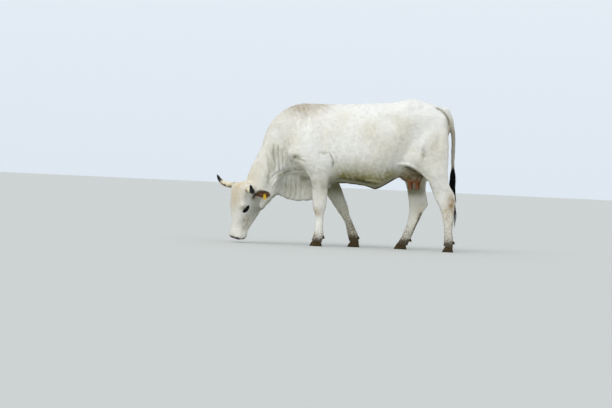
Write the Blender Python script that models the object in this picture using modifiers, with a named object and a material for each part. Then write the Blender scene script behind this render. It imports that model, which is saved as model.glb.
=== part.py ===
"""A grazing Chianina cow as a still, life-size model.

The cow faces -X, its left side is towards -Y, +Z is up and the floor is at Z = 0. The head is
lowered to the ground and turned to the cow's left. All sizes are metres.
"""

import math
import random

import bmesh
import bpy
import numpy as np
from mathutils import Matrix, Vector

GAP = 0.0003  # between pieces that meet
BODY_VOXEL = 0.011
HEAD_VOXEL = 0.0055
UDDER_VOXEL = 0.006
BODY_TRIANGLES = 5600
HEAD_TRIANGLES = 2600
UDDER_TRIANGLES = 560
BODY_PASSES = 40  # of smoothing, which blend the legs and the neck into the trunk
HEAD_PASSES = 12
UDDER_PASSES = 4
TRUNK_SIDES = 40
LEG_SIDES = 28
STEPS_BETWEEN = 4  # rings from one row to the next

# Puts the floor's origin under the middle of the cow.
STAND_AT = Vector((0.032, 0.086, 0.0))

LEGS = [("left_fore", -1), ("right_fore", 1), ("left_hind", -1), ("right_hind", 1)]

# Trunk and neck, from the rump forward. Each row: top x, top z, bottom x, bottom z, shift in y,
# half width, level of the widest place (share of the height), roundness of the crown and the keel.
TRUNK = [
    (1.150, 1.340, 1.140, 1.250, 0.000, 0.030, 0.50, 2.0, 2.0),
    (1.130, 1.430, 1.115, 1.150, 0.000, 0.095, 0.55, 2.0, 2.0),
    (1.060, 1.530, 1.050, 0.990, 0.000, 0.165, 0.62, 2.0, 2.0),
    (0.960, 1.572, 0.960, 0.880, 0.000, 0.210, 0.66, 2.0, 1.9),
    (0.860, 1.592, 0.860, 0.830, 0.000, 0.245, 0.68, 2.0, 1.8),
    (0.740, 1.620, 0.740, 0.800, 0.000, 0.268, 0.68, 2.1, 1.7),
    (0.620, 1.592, 0.620, 0.762, 0.000, 0.285, 0.58, 2.2, 1.8),
    (0.500, 1.568, 0.500, 0.690, 0.000, 0.320, 0.47, 2.2, 2.0),
    (0.390, 1.556, 0.385, 0.632, 0.000, 0.348, 0.43, 2.1, 1.9),
    (0.280, 1.549, 0.280, 0.657, 0.000, 0.358, 0.42, 2.1, 2.1),
    (0.140, 1.538, 0.140, 0.674, 0.000, 0.350, 0.42, 2.1, 2.1),
    (0.000, 1.531, 0.000, 0.678, 0.000, 0.320, 0.44, 2.0, 2.1),
    (-0.160, 1.522, -0.140, 0.670, 0.000, 0.275, 0.46, 1.8, 2.1),
    (-0.320, 1.526, -0.270, 0.660, 0.000, 0.245, 0.46, 1.7, 2.1),
    (-0.450, 1.520, -0.390, 0.700, 0.000, 0.230, 0.44, 1.7, 2.1),
    (-0.570, 1.480, -0.500, 0.745, -0.003, 0.210, 0.42, 1.8, 2.1),
    (-0.660, 1.418, -0.585, 0.745, -0.010, 0.190, 0.42, 1.8, 2.1),
    (-0.755, 1.318, -0.640, 0.710, -0.030, 0.168, 0.43, 1.8, 2.1),
    (-0.783, 1.208, -0.680, 0.665, -0.060, 0.150, 0.44, 1.8, 2.1),
    (-0.811, 1.098, -0.705, 0.615, -0.092, 0.134, 0.46, 1.8, 2.1),
    (-0.870, 0.990, -0.708, 0.545, -0.118, 0.122, 0.48, 1.9, 2.1),
    (-0.921, 0.884, -0.712, 0.492, -0.138, 0.110, 0.50, 1.9, 2.1),
    (-0.971, 0.780, -0.738, 0.442, -0.156, 0.100, 0.50, 1.9, 2.1),
    (-1.000, 0.675, -0.796, 0.385, -0.172, 0.090, 0.50, 1.9, 2.1),
]

# Dewlap and brisket, from the throat back, in rows like the trunk's.
DEWLAP = [
    (-0.770, 0.640, -0.715, 0.470, -0.120, 0.040, 0.60, 2.0, 1.6),
    (-0.700, 0.760, -0.665, 0.512, -0.075, 0.040, 0.65, 2.0, 1.5),
    (-0.620, 0.830, -0.618, 0.506, -0.035, 0.036, 0.70, 2.0, 1.5),
    (-0.540, 0.860, -0.545, 0.476, -0.012, 0.038, 0.70, 2.0, 1.5),
    (-0.450, 0.860, -0.460, 0.466, 0.000, 0.046, 0.70, 2.0, 1.6),
    (-0.360, 0.860, -0.375, 0.472, 0.000, 0.060, 0.68, 2.0, 1.7),
    (-0.270, 0.860, -0.290, 0.484, 0.000, 0.078, 0.64, 2.0, 1.8),
    (-0.180, 0.850, -0.200, 0.545, 0.000, 0.095, 0.60, 2.0, 1.9),
    (-0.080, 0.830, -0.090, 0.640, 0.000, 0.095, 0.55, 2.0, 2.0),
]

# Where the jaw and the neck run into each other.
THROAT_AT = Vector((-0.850, -0.150, 0.425))
THROAT_SIZE = (0.075, 0.085, 0.075)

# Where the head's joint with the neck is evened out: centre, reach, share of the smoothing added.
EVENED = [
    ((-0.850, -0.150, 0.425), 0.12, 0.35),
    ((-1.010, -0.200, 0.650), 0.08, 0.35),
]

# Legs, from the top down. Each row: height z, front x, rear x, distance from the mid-plane, half
# width, how much narrower the rear is than the front, and roundness.
LEFT_FORE = [
    (1.470, -0.400, -0.280, 0.060, 0.035, 0.0, 1.7),
    (1.380, -0.470, -0.180, 0.100, 0.065, 0.0, 1.7),
    (1.260, -0.520, -0.120, 0.138, 0.092, 0.0, 1.7),
    (1.120, -0.560, -0.085, 0.165, 0.108, 0.0, 1.7),
    (1.000, -0.575, -0.065, 0.178, 0.114, 0.0, 1.8),
    (0.920, -0.555, -0.068, 0.184, 0.112, 0.1, 1.9),
    (0.850, -0.470, -0.085, 0.188, 0.104, 0.1, 2.0),
    (0.780, -0.372, -0.103, 0.187, 0.091, 0.1, 2.1),
    (0.700, -0.322, -0.118, 0.183, 0.078, 0.1, 2.2),
    (0.600, -0.301, -0.125, 0.178, 0.066, 0.1, 2.2),
    (0.500, -0.292, -0.131, 0.173, 0.057, 0.1, 2.3),
    (0.430, -0.283, -0.133, 0.170, 0.057, 0.2, 2.4),
    (0.380, -0.271, -0.146, 0.168, 0.055, 0.3, 2.4),
    (0.325, -0.251, -0.157, 0.167, 0.043, 0.2, 2.2),
    (0.250, -0.246, -0.159, 0.166, 0.036, 0.1, 2.2),
    (0.180, -0.249, -0.156, 0.166, 0.038, 0.1, 2.2),
    (0.125, -0.260, -0.146, 0.166, 0.048, 0.1, 2.3),
    (0.085, -0.272, -0.152, 0.166, 0.049, 0.1, 2.3),
    (0.050, -0.285, -0.163, 0.166, 0.052, 0.1, 2.4),
    (0.020, -0.295, -0.163, 0.166, 0.052, 0.1, 2.4),
]
RIGHT_FORE = [
    (1.470, -0.400, -0.280, 0.060, 0.035, 0.0, 1.7),
    (1.380, -0.470, -0.180, 0.100, 0.065, 0.0, 1.7),
    (1.260, -0.515, -0.110, 0.138, 0.092, 0.0, 1.7),
    (1.120, -0.540, -0.065, 0.165, 0.108, 0.0, 1.7),
    (1.000, -0.540, -0.035, 0.178, 0.114, 0.0, 1.8),
    (0.920, -0.500, -0.018, 0.184, 0.112, 0.1, 1.9),
    (0.850, -0.420, -0.018, 0.188, 0.104, 0.1, 2.0),
    (0.780, -0.325, -0.022, 0.187, 0.091, 0.1, 2.1),
    (0.700, -0.245, -0.008, 0.183, 0.078, 0.1, 2.2),
    (0.610, -0.182, 0.029, 0.177, 0.066, 0.1, 2.2),
    (0.525, -0.123, 0.064, 0.172, 0.058, 0.1, 2.3),
    (0.445, -0.060, 0.098, 0.168, 0.056, 0.2, 2.4),
    (0.390, -0.018, 0.112, 0.166, 0.055, 0.2, 2.4),
    (0.340, 0.016, 0.126, 0.165, 0.045, 0.2, 2.2),
    (0.288, 0.055, 0.149, 0.165, 0.037, 0.1, 2.2),
    (0.236, 0.079, 0.174, 0.165, 0.036, 0.1, 2.2),
    (0.180, 0.094, 0.200, 0.165, 0.039, 0.1, 2.2),
    (0.130, 0.107, 0.224, 0.165, 0.048, 0.1, 2.3),
    (0.090, 0.119, 0.230, 0.165, 0.049, 0.1, 2.3),
    (0.050, 0.127, 0.236, 0.165, 0.052, 0.1, 2.4),
    (0.020, 0.122, 0.240, 0.165, 0.052, 0.1, 2.4),
]
LEFT_HIND = [
    (1.500, 0.900, 1.040, 0.080, 0.040, 0.0, 1.7),
    (1.420, 0.800, 1.100, 0.112, 0.070, 0.1, 1.7),
    (1.300, 0.730, 1.130, 0.142, 0.098, 0.2, 1.7),
    (1.180, 0.690, 1.143, 0.158, 0.110, 0.3, 1.8),
    (1.060, 0.665, 1.149, 0.165, 0.114, 0.3, 1.8),
    (0.960, 0.640, 1.148, 0.168, 0.112, 0.3, 1.8),
    (0.900, 0.650, 1.147, 0.170, 0.106, 0.3, 1.8),
    (0.865, 0.765, 1.147, 0.172, 0.102, 0.3, 1.9),
    (0.815, 0.855, 1.147, 0.174, 0.094, 0.3, 2.0),
    (0.757, 0.925, 1.151, 0.177, 0.083, 0.4, 2.1),
    (0.705, 0.948, 1.172, 0.180, 0.073, 0.5, 2.2),
    (0.650, 0.972, 1.204, 0.182, 0.064, 0.6, 2.2),
    (0.600, 0.996, 1.230, 0.184, 0.058, 0.6, 2.2),
    (0.550, 1.020, 1.236, 0.186, 0.056, 0.6, 2.3),
    (0.500, 1.046, 1.232, 0.187, 0.055, 0.5, 2.4),
    (0.440, 1.073, 1.229, 0.188, 0.049, 0.4, 2.3),
    (0.385, 1.095, 1.227, 0.189, 0.043, 0.3, 2.2),
    (0.335, 1.109, 1.224, 0.190, 0.040, 0.2, 2.2),
    (0.270, 1.120, 1.220, 0.190, 0.038, 0.1, 2.2),
    (0.200, 1.127, 1.220, 0.190, 0.040, 0.1, 2.2),
    (0.140, 1.128, 1.230, 0.190, 0.049, 0.1, 2.3),
    (0.090, 1.127, 1.230, 0.190, 0.050, 0.1, 2.3),
    (0.050, 1.122, 1.230, 0.190, 0.053, 0.1, 2.4),
    (0.020, 1.116, 1.230, 0.190, 0.053, 0.1, 2.4),
]
RIGHT_HIND = [
    (1.500, 0.900, 1.040, 0.080, 0.040, 0.0, 1.7),
    (1.420, 0.800, 1.095, 0.112, 0.070, 0.1, 1.7),
    (1.300, 0.725, 1.122, 0.142, 0.098, 0.2, 1.7),
    (1.180, 0.670, 1.130, 0.158, 0.110, 0.3, 1.8),
    (1.060, 0.620, 1.118, 0.165, 0.114, 0.3, 1.8),
    (0.960, 0.590, 1.085, 0.168, 0.112, 0.3, 1.8),
    (0.880, 0.605, 1.035, 0.171, 0.104, 0.3, 1.9),
    (0.800, 0.655, 0.975, 0.175, 0.094, 0.3, 2.0),
    (0.740, 0.690, 0.940, 0.179, 0.084, 0.4, 2.1),
    (0.690, 0.712, 0.932, 0.181, 0.074, 0.5, 2.2),
    (0.640, 0.726, 0.934, 0.183, 0.065, 0.6, 2.2),
    (0.590, 0.734, 0.943, 0.185, 0.058, 0.6, 2.2),
    (0.540, 0.744, 0.957, 0.186, 0.056, 0.6, 2.3),
    (0.500, 0.751, 0.961, 0.187, 0.054, 0.6, 2.4),
    (0.465, 0.755, 0.950, 0.188, 0.052, 0.5, 2.4),
    (0.430, 0.757, 0.926, 0.188, 0.047, 0.4, 2.3),
    (0.380, 0.756, 0.901, 0.189, 0.042, 0.3, 2.2),
    (0.325, 0.750, 0.880, 0.190, 0.039, 0.2, 2.2),
    (0.270, 0.738, 0.853, 0.190, 0.037, 0.1, 2.2),
    (0.215, 0.722, 0.830, 0.190, 0.039, 0.1, 2.2),
    (0.160, 0.699, 0.812, 0.190, 0.046, 0.1, 2.3),
    (0.110, 0.674, 0.792, 0.190, 0.050, 0.1, 2.3),
    (0.050, 0.638, 0.764, 0.190, 0.053, 0.1, 2.4),
    (0.020, 0.620, 0.752, 0.190, 0.053, 0.1, 2.4),
]

# The head's own frame: u runs down the face from the poll, v stands out of the forehead, and w
# points to the cow's left.
POLL = Vector((-1.096, -0.280, 0.622))
TO_NOSE = Vector((-0.050, 0.141, -0.989)).normalized()
TO_LEFT = Vector((0.636, -0.758, -0.140)).normalized()
FACE_OUT = TO_NOSE.cross(TO_LEFT).normalized()

# Head, from the nape to the lips. Each row: u, top v, bottom v, half width, level of the widest
# place, roundness of the face and of the jaw.
HEAD = [
    (-0.018, -0.058, -0.180, 0.070, 0.55, 2.3, 2.0),
    (-0.002, -0.024, -0.238, 0.110, 0.62, 2.5, 2.0),
    (0.022, 0.000, -0.280, 0.129, 0.68, 2.6, 2.1),
    (0.060, 0.010, -0.305, 0.129, 0.72, 2.7, 2.2),
    (0.120, 0.014, -0.332, 0.121, 0.74, 2.8, 2.3),
    (0.180, 0.013, -0.350, 0.118, 0.76, 2.8, 2.4),
    (0.235, 0.009, -0.352, 0.121, 0.77, 2.7, 2.4),
    (0.290, 0.004, -0.338, 0.113, 0.76, 2.5, 2.4),
    (0.350, 0.001, -0.302, 0.098, 0.72, 2.3, 2.4),
    (0.410, -0.001, -0.261, 0.083, 0.68, 2.1, 2.4),
    (0.465, -0.002, -0.221, 0.077, 0.63, 2.1, 2.3),
    (0.510, 0.002, -0.188, 0.085, 0.58, 2.4, 2.3),
    (0.545, 0.002, -0.176, 0.094, 0.57, 2.7, 2.4),
    (0.575, -0.008, -0.160, 0.091, 0.56, 2.7, 2.4),
    (0.595, -0.032, -0.134, 0.066, 0.54, 2.3, 2.2),
]

# Where bone and muscle stand out of the body or leave a hollow, on both sides of it. Each row:
# x, distance from the mid-plane, z, reach along x, y and z, height.
BODY_RELIEF = [
    (0.690, 0.250, 1.545, 0.055, 0.070, 0.050, 0.034),
    (0.530, 0.300, 1.400, 0.085, 0.120, 0.100, -0.028),
    (0.880, 0.220, 1.510, 0.110, 0.080, 0.055, -0.016),
    (1.090, 0.140, 1.440, 0.045, 0.050, 0.045, 0.022),
    (0.930, 0.270, 1.190, 0.090, 0.090, 0.100, 0.012),
    (0.790, 0.250, 0.960, 0.070, 0.090, 0.070, 0.018),
    (0.000, 0.270, 1.120, 0.070, 0.100, 0.220, -0.012),
    (-0.640, 0.180, 1.160, 0.070, 0.090, 0.180, -0.014),
    (-0.530, 0.250, 0.940, 0.055, 0.070, 0.060, 0.020),
    (-0.085, 0.220, 0.925, 0.035, 0.060, 0.045, 0.016),
    (-0.450, 0.180, 1.300, 0.030, 0.080, 0.130, 0.007),
]

# The same on the head, in its own frame: u, v, distance from its mid-plane, reach along each,
# height.
HEAD_RELIEF = [
    (0.212, -0.020, 0.118, 0.038, 0.034, 0.032, 0.019),
    (0.290, -0.085, 0.110, 0.040, 0.020, 0.040, 0.007),
    (0.215, -0.240, 0.105, 0.070, 0.075, 0.050, 0.008),
    (0.130, -0.085, 0.118, 0.035, 0.040, 0.040, -0.010),
    (0.400, -0.100, 0.088, 0.050, 0.040, 0.040, -0.006),
    (0.560, -0.040, 0.072, 0.026, 0.026, 0.030, 0.008),
    (0.565, -0.162, 0.000, 0.030, 0.026, 0.045, 0.010),
]

# Eye, in the head's frame. The lids are a thicker ball round it, cut open by an oval.
EYE_AT = (0.251, -0.068, 0.112)
EYE_RADIUS = 0.0215
LID_RADIUS = 0.0250
EYE_OPENING = (0.0220, 0.0155)  # half length, half height
EYE_SLANT = 0.70  # from the line of the face, its rear end away from the forehead
LID_CUT_DEPTH = 0.060

# Horns, in the head's frame: u, v, w and radius. The left one curls further forward.
HORN_PATHS = {
    "left_horn": [
        (0.042, -0.062, 0.085, 0.032),
        (0.043, -0.062, 0.145, 0.031),
        (0.045, -0.050, 0.200, 0.030),
        (0.036, -0.022, 0.243, 0.028),
        (0.010, 0.010, 0.268, 0.0210),
        (-0.020, 0.029, 0.279, 0.0140),
        (-0.040, 0.041, 0.283, 0.0030),
    ],
    "right_horn": [
        (0.042, -0.060, -0.085, 0.033),
        (0.042, -0.060, -0.145, 0.032),
        (0.043, -0.042, -0.198, 0.030),
        (0.032, -0.014, -0.246, 0.027),
        (0.003, 0.010, -0.284, 0.0200),
        (-0.028, 0.022, -0.302, 0.0135),
        (-0.048, 0.029, -0.313, 0.0030),
    ],
}

# Ear, in the head's frame. The cup's wrap is half its angle round the line of the ear.
EAR_ROOT = (0.105, -0.135, 0.100)
EAR_TIP = (0.062, -0.205, 0.318)
EAR_OPENS = (0.15, 0.80, 0.55)  # down the face, out of the forehead and to the side
EAR_WIDTH = 0.060
EAR_DEPTH = (1.00, 0.50)  # share of the width, at the root and at the tip
EAR_WRAP = (1.35, 0.95)
EAR_SET_BACK = 0.35  # of the depth
EAR_THICKNESS = 0.007
EAR_ROWS = 9
EAR_COLUMNS = 8

TAG_ALONG = 0.74  # share of the ear's length
TAG_STANDS_OUT = 0.012
TAG_STUD = 0.004
TAG_STUD_LENGTH = 0.062
TAG_SIZE = (0.017, 0.050, 0.003)  # half width, length, thickness
TAG_SHOULDER = 0.35  # of its length
TAG_NECK = 0.008

# Tail: x, z and radius.
TAIL = [
    (0.960, 1.500, 0.030),
    (1.040, 1.524, 0.036),
    (1.105, 1.500, 0.034),
    (1.148, 1.420, 0.029),
    (1.178, 1.300, 0.025),
    (1.190, 1.190, 0.024),
    (1.193, 1.080, 0.023),
    (1.195, 0.970, 0.021),
    (1.198, 0.880, 0.018),
]
TAIL_PARTED_AT = 1.160
SWITCH_TOP = Vector((1.198, 0.0, 0.880))

# Switch: its core as x, distance down and radius; its locks as share of the length and of the
# width.
SWITCH_CORE = [(0.0, 0.0, 0.017), (-0.003, 0.10, 0.017), (-0.008, 0.20, 0.014), (-0.014, 0.30, 0.006)]
SWITCH_LOCKS = 14
SWITCH_SEED = 7
LOCK_ROOTS = (0.03, 0.25)  # distance of the first and the last below the top
LOCK_ROOT_OUT = 0.010
LOCK_STEPS = [(0.0, 0.6), (0.2, 1.0), (0.45, 0.9), (0.75, 0.6), (1.0, 0.10)]
LOCK_LENGTHS = (0.30, 0.56)
LOCK_SPREADS = (0.012, 0.030)
LOCK_SWAYS = (-0.006, 0.012)
LOCK_DRIFT = 0.030
LOCK_WIDTH = 0.011
LOCK_THICKNESS = 0.0045
TURN_BETWEEN = 2 * math.pi * 1.618

UDDER_AT = Vector((0.760, 0.0, 0.820))
UDDER_SIZE = Vector((0.145, 0.120, 0.105))
TEATS = [(0.738, -0.055), (0.816, -0.046), (0.770, 0.052), (0.846, 0.044)]
# A teat's share of its distance from the mid-plane, z and radius.
TEAT_PATH = [
    (0.9, 0.760, 0.0260),
    (1.0, 0.725, 0.0180),
    (1.0, 0.680, 0.0140),
    (1.0, 0.648, 0.0120),
    (1.0, 0.637, 0.0060),
]

# Feet: leg's name, toe x, heel x, distance from the mid-plane, side, width of one claw.
FEET = [
    ("left_fore", -0.300, -0.162, 0.166, -1, 0.056),
    ("right_fore", 0.108, 0.243, 0.165, 1, 0.056),
    ("left_hind", 1.112, 1.233, 0.190, -1, 0.053),
    ("right_hind", 0.612, 0.752, 0.190, 1, 0.053),
]
CORONET_FRONT = 0.072
CORONET_HEEL = 0.044
CLAW_GAP = 0.006
CLAW_HEIGHTS = (0.0, 0.35, 0.75, 1.0)
CLAW_SIDES = 14
CLAW_ROUNDNESS = 2.4
CLAW_LEAN = 0.038  # how far the front of a claw slopes back
HEEL_LEAN = 0.012
CLAW_TAPER = 0.16  # towards the coronet
TOE_TAPER = 0.45
TOE_TURNS_IN = 0.10
DEWCLAW_AT = {
    "left_fore": (-0.153, 0.098),
    "right_fore": (0.225, 0.102),
    "left_hind": (1.231, 0.102),
    "right_hind": (0.787, 0.100),
}
DEWCLAW_SPREAD = 0.020
DEWCLAW_SIZE = (0.013, 0.013, 0.019)
DEWCLAW_TURN = -0.5

# Muzzle, in the head's frame.
NOSTRIL_AT = (0.576, -0.038, 0.060)
NOSTRIL_SIZE = (0.017, 0.013, 0.010)
NOSTRIL_TURN = 0.5
MOUTH = (0.490, 0.115, 0.084, -0.118)  # where it starts, its length, half width and level
MOUTH_GAP = 0.004
LIPS_REACH = (1.12, 1.15)  # the cut between the lips, past the muzzle's length and half width
MOUTH_DEPTH = (0.86, 0.82)

# The space of each leg seen from the side, anticlockwise in x and z, and the slope under the
# shoulder and over the thigh, seen from the front as distance from the mid-plane and z.
POD_SIDES = {
    "left_fore": [(-0.60, -0.1), (0.00, -0.1), (-0.075, 0.80), (-0.055, 1.20), (-0.60, 1.20)],
    "right_fore": [
        (-0.10, -0.1), (0.40, -0.1), (0.20, 0.45), (0.01, 0.75), (-0.01, 1.20), (-0.60, 1.20),
        (-0.60, 0.70), (-0.20, 0.45),
    ],
    "left_hind": [
        (1.00, -0.1), (1.40, -0.1), (1.40, 1.20), (0.66, 1.20), (0.66, 0.90), (0.86, 0.66),
        (0.98, 0.40),
    ],
    "right_hind": [
        (0.45, -0.1), (0.95, -0.1), (1.40, 0.60), (1.40, 1.20), (0.62, 1.20), (0.60, 0.70),
    ],
}
FORE_SLOPE = [(0.102, -0.2), (0.60, -0.2), (0.60, 1.18), (0.36, 1.18), (0.102, 0.70)]
HIND_SLOPE = [(0.072, -0.2), (0.60, -0.2), (0.60, 1.18), (0.34, 1.18), (0.072, 0.80)]
POD_WIDTH = (-0.10, 0.60)
POD_LENGTH = (-0.80, 1.50)

# Where the neck leaves the trunk: a point and a direction in the cow's frame. Where the head
# leaves the neck: the same in the head's frame.
NECK_PLANE = ((-0.600, 0.0, 1.10), (-0.993, 0.0, -0.120))
HEAD_PLANE = ((0.060, -0.213, 0.0), (0.628, 0.779, 0.0))


def clear_scene():
    for old in list(bpy.data.objects):
        bpy.data.objects.remove(old, do_unlink=True)


def smooth_rows(rows, steps=STEPS_BETWEEN):
    """Rows read from a smooth curve through the given rows."""
    keys = np.array(rows, float)
    before = np.vstack([2 * keys[0] - keys[1], keys[:-1]])
    after = np.vstack([keys[1:], 2 * keys[-1] - keys[-2]])
    slope = (after - before) / 2
    t = (np.arange(steps) / steps)[:, None]
    rest = 2 * t**3 - 3 * t**2 + 1
    leave = t**3 - 2 * t**2 + t
    arrive = t**3 - t**2
    made = [
        rest * a + (1 - rest) * b + leave * da + arrive * db
        for a, b, da, db in zip(keys[:-1], keys[1:], slope[:-1], slope[1:])
    ]
    return np.vstack(made + [keys[-1:]])


def power(value, roundness):
    return np.sign(value) * np.abs(value) ** (2 / roundness)


def mesh_object(name, points, faces):
    mesh = bpy.data.meshes.new(name)
    mesh.from_pydata([tuple(p) for p in points], [], faces)
    bm = bmesh.new()
    bm.from_mesh(mesh)
    bmesh.ops.recalc_face_normals(bm, faces=bm.faces)
    if bm.calc_volume(signed=True) < 0:
        bmesh.ops.reverse_faces(bm, faces=bm.faces)
    bm.to_mesh(mesh)
    bm.free()
    made = bpy.data.objects.new(name, mesh)
    bpy.context.scene.collection.objects.link(made)
    return made


def loft(name, rings):
    """A closed skin over rings of equal count, capped at both ends."""
    sides = len(rings[0])
    points = [p for ring in rings for p in ring]
    faces = []
    for i in range(len(rings) - 1):
        for j in range(sides):
            a = i * sides + j
            b = i * sides + (j + 1) % sides
            faces.append((a, b, b + sides, a + sides))
    faces.append(tuple(range(sides)))
    faces.append(tuple(range(len(points) - sides, len(points))))
    return mesh_object(name, points, faces)


def upright_rings(rows, sides):
    """Rings for the trunk and the dewlap, each across the line from its bottom to its top."""
    angle = np.linspace(0, 2 * math.pi, sides, endpoint=False)
    across, up = np.cos(angle), np.sin(angle)
    smooth = smooth_rows(rows)
    middle_x = (smooth[:, 0] + smooth[:, 2]) / 2
    turn = np.arctan(np.gradient(smooth[:, 4]) / np.gradient(middle_x))
    rings = []
    for row, yaw in zip(smooth, turn):
        top_x, top_z, bottom_x, bottom_z, shift, width, level, crown, keel = row
        above = up > 0
        side = np.where(above, power(across, crown), power(across, keel)) * width
        height = level + np.where(above, (1 - level) * power(up, crown), level * power(up, keel))
        x = bottom_x + (top_x - bottom_x) * height - math.sin(yaw) * side
        y = shift + math.cos(yaw) * side
        z = bottom_z + (top_z - bottom_z) * height
        rings.append(np.column_stack([x, y, z]))
    return rings


def leg_rings(rows, side_sign):
    angle = np.linspace(0, 2 * math.pi, LEG_SIDES, endpoint=False)
    along, across = np.cos(angle), np.sin(angle)
    rings = []
    for z, front, rear, out, width, narrow, roundness in smooth_rows(rows):
        x = (front + rear) / 2 + (rear - front) / 2 * power(along, roundness)
        y = side_sign * out + width * power(across, roundness) * (1 - narrow * (1 + along) / 2)
        rings.append(np.column_stack([x, y, np.full(LEG_SIDES, z)]))
    return rings


def from_head(u, v, w):
    """A point of the head's frame in the cow's frame."""
    return POLL + TO_NOSE * u + FACE_OUT * v + TO_LEFT * w


def head_rings():
    angle = np.linspace(0, 2 * math.pi, TRUNK_SIDES, endpoint=False)
    across, up = np.cos(angle), np.sin(angle)
    rings = []
    for u, top, bottom, width, level, face, jaw in smooth_rows(HEAD):
        above = up > 0
        side = np.where(above, power(across, face), power(across, jaw)) * width
        height = level + np.where(above, (1 - level) * power(up, face), level * power(up, jaw))
        v = bottom + (top - bottom) * height
        rings.append([from_head(u, v_, w_) for v_, w_ in zip(v, side)])
    return rings


def joined(name, objects):
    """One mesh object that holds the others' meshes, which are then removed."""
    bm = bmesh.new()
    for source in objects:
        bm.from_mesh(source.data)
        bpy.data.objects.remove(source, do_unlink=True)
    mesh = bpy.data.meshes.new(name)
    bm.to_mesh(mesh)
    bm.free()
    made = bpy.data.objects.new(name, mesh)
    bpy.context.scene.collection.objects.link(made)
    return made


def apply_modifiers(target):
    graph = bpy.context.evaluated_depsgraph_get()
    graph.update()
    mesh = bpy.data.meshes.new_from_object(target.evaluated_get(graph))
    target.modifiers.clear()
    target.data = mesh
    return target


def remeshed(target, voxel):
    modifier = target.modifiers.new("Remesh", "REMESH")
    modifier.mode = "VOXEL"
    modifier.voxel_size = voxel
    return apply_modifiers(target)


def neighbours_mean(points, edges, count):
    total = np.zeros_like(points)
    for axis in range(3):
        total[:, axis] = np.bincount(edges[:, 0], points[edges[:, 1], axis], len(points))
        total[:, axis] += np.bincount(edges[:, 1], points[edges[:, 0], axis], len(points))
    return total / count[:, None]


def read_points(target):
    points = np.empty(len(target.data.vertices) * 3)
    target.data.vertices.foreach_get("co", points)
    return points.reshape(-1, 3)


def write_points(target, points):
    target.data.vertices.foreach_set("co", points.ravel())
    target.data.update()


def read_normals(target):
    normals = np.empty(len(target.data.vertices) * 3)
    target.data.vertices.foreach_get("normal", normals)
    return normals.reshape(-1, 3)


def smoothed(target, passes, share):
    """Evens a mesh out. share(points) gives each point's part of the full smoothing."""
    edges = np.empty(len(target.data.edges) * 2, int)
    target.data.edges.foreach_get("vertices", edges)
    edges = edges.reshape(-1, 2)
    points = read_points(target)
    count = np.bincount(edges.ravel(), minlength=len(points))
    for step in range(passes):
        part = np.clip(share(points) * passes - step, 0, 1)[:, None] * 0.5
        points += part * (neighbours_mean(points, edges, count) - points)
    write_points(target, points)
    return target


def relieved(target, places):
    """Raises or hollows the surface round each place: centre, reach and height."""
    points = read_points(target)
    normals = read_normals(target)
    lift = np.zeros(len(points))
    for centre, frame, reach, height in places:
        local = (points - np.array(centre)) @ np.array(frame).T / np.array(reach)
        lift += height * np.exp(-(local**2).sum(axis=1))
    write_points(target, points + normals * lift[:, None])
    return target


def body_places():
    frame = np.eye(3)
    return [
        ((x, side * y, z), frame, (reach_x, reach_y, reach_z), height)
        for x, y, z, reach_x, reach_y, reach_z, height in BODY_RELIEF
        for side in (-1, 1)
    ]


def head_places():
    frame = np.array([TO_NOSE, FACE_OUT, TO_LEFT])
    return [
        (from_head(u, v, side * w), frame, (reach_u, reach_v, reach_w), height)
        for u, v, w, reach_u, reach_v, reach_w, height in HEAD_RELIEF
        for side in ((-1, 1) if w else (1,))
    ]


def decimated(target, triangles):
    count = sum(len(face.vertices) - 2 for face in target.data.polygons)
    modifier = target.modifiers.new("Decimate", "DECIMATE")
    modifier.ratio = triangles / count
    modifier.use_collapse_triangulate = True
    return apply_modifiers(target)


def duplicate(source, name):
    made = bpy.data.objects.new(name, source.data.copy())
    bpy.context.scene.collection.objects.link(made)
    return made


def inflated(source, by=2 * GAP):
    """A copy whose faces stand out by a small distance."""
    made = duplicate(source, "grown")
    bm = bmesh.new()
    bm.from_mesh(made.data)
    steps = [v.normal * min(2.0, v.calc_shell_factor()) * by for v in bm.verts]
    for vertex, step in zip(bm.verts, steps):
        vertex.co += step
    bm.to_mesh(made.data)
    bm.free()
    return made


def combine(target, other, operation, solver="EXACT"):
    """A Boolean with another object, which is then removed."""
    modifier = target.modifiers.new("Boolean", "BOOLEAN")
    modifier.operation = operation
    modifier.solver = solver
    modifier.object = other
    apply_modifiers(target)
    bpy.data.objects.remove(other, do_unlink=True)
    return keep_largest(target)


def keep_largest(target):
    """Leaves the largest closed surface of a mesh."""
    bm = bmesh.new()
    bm.from_mesh(target.data)
    unseen = set(bm.faces)
    groups = []
    while unseen:
        stack = [unseen.pop()]
        group = set(stack)
        while stack:
            for edge in stack.pop().edges:
                for face in edge.link_faces:
                    if face in unseen:
                        unseen.remove(face)
                        group.add(face)
                        stack.append(face)
        groups.append(group)
    groups.sort(key=lambda group: sum(face.calc_area() for face in group))
    spare = [face for group in groups[:-1] for face in group]
    bmesh.ops.delete(bm, geom=spare, context="FACES")
    loose = [vertex for vertex in bm.verts if not vertex.link_faces]
    bmesh.ops.delete(bm, geom=loose, context="VERTS")
    bm.to_mesh(target.data)
    bm.free()
    return target


def grown_outline(outline, by):
    """The corners of an outline that runs anticlockwise, moved out by a distance."""
    made = []
    for i, corner in enumerate(outline):
        before = Vector(outline[i - 1])
        here = Vector(corner)
        after = Vector(outline[(i + 1) % len(outline)])
        first = (here - before).normalized()
        second = (after - here).normalized()
        out = (Vector((first.y, -first.x)) + Vector((second.y, -second.x))).normalized()
        made.append(here + out * by / max(0.3, out.dot(Vector((first.y, -first.x)))))
    return made


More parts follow.
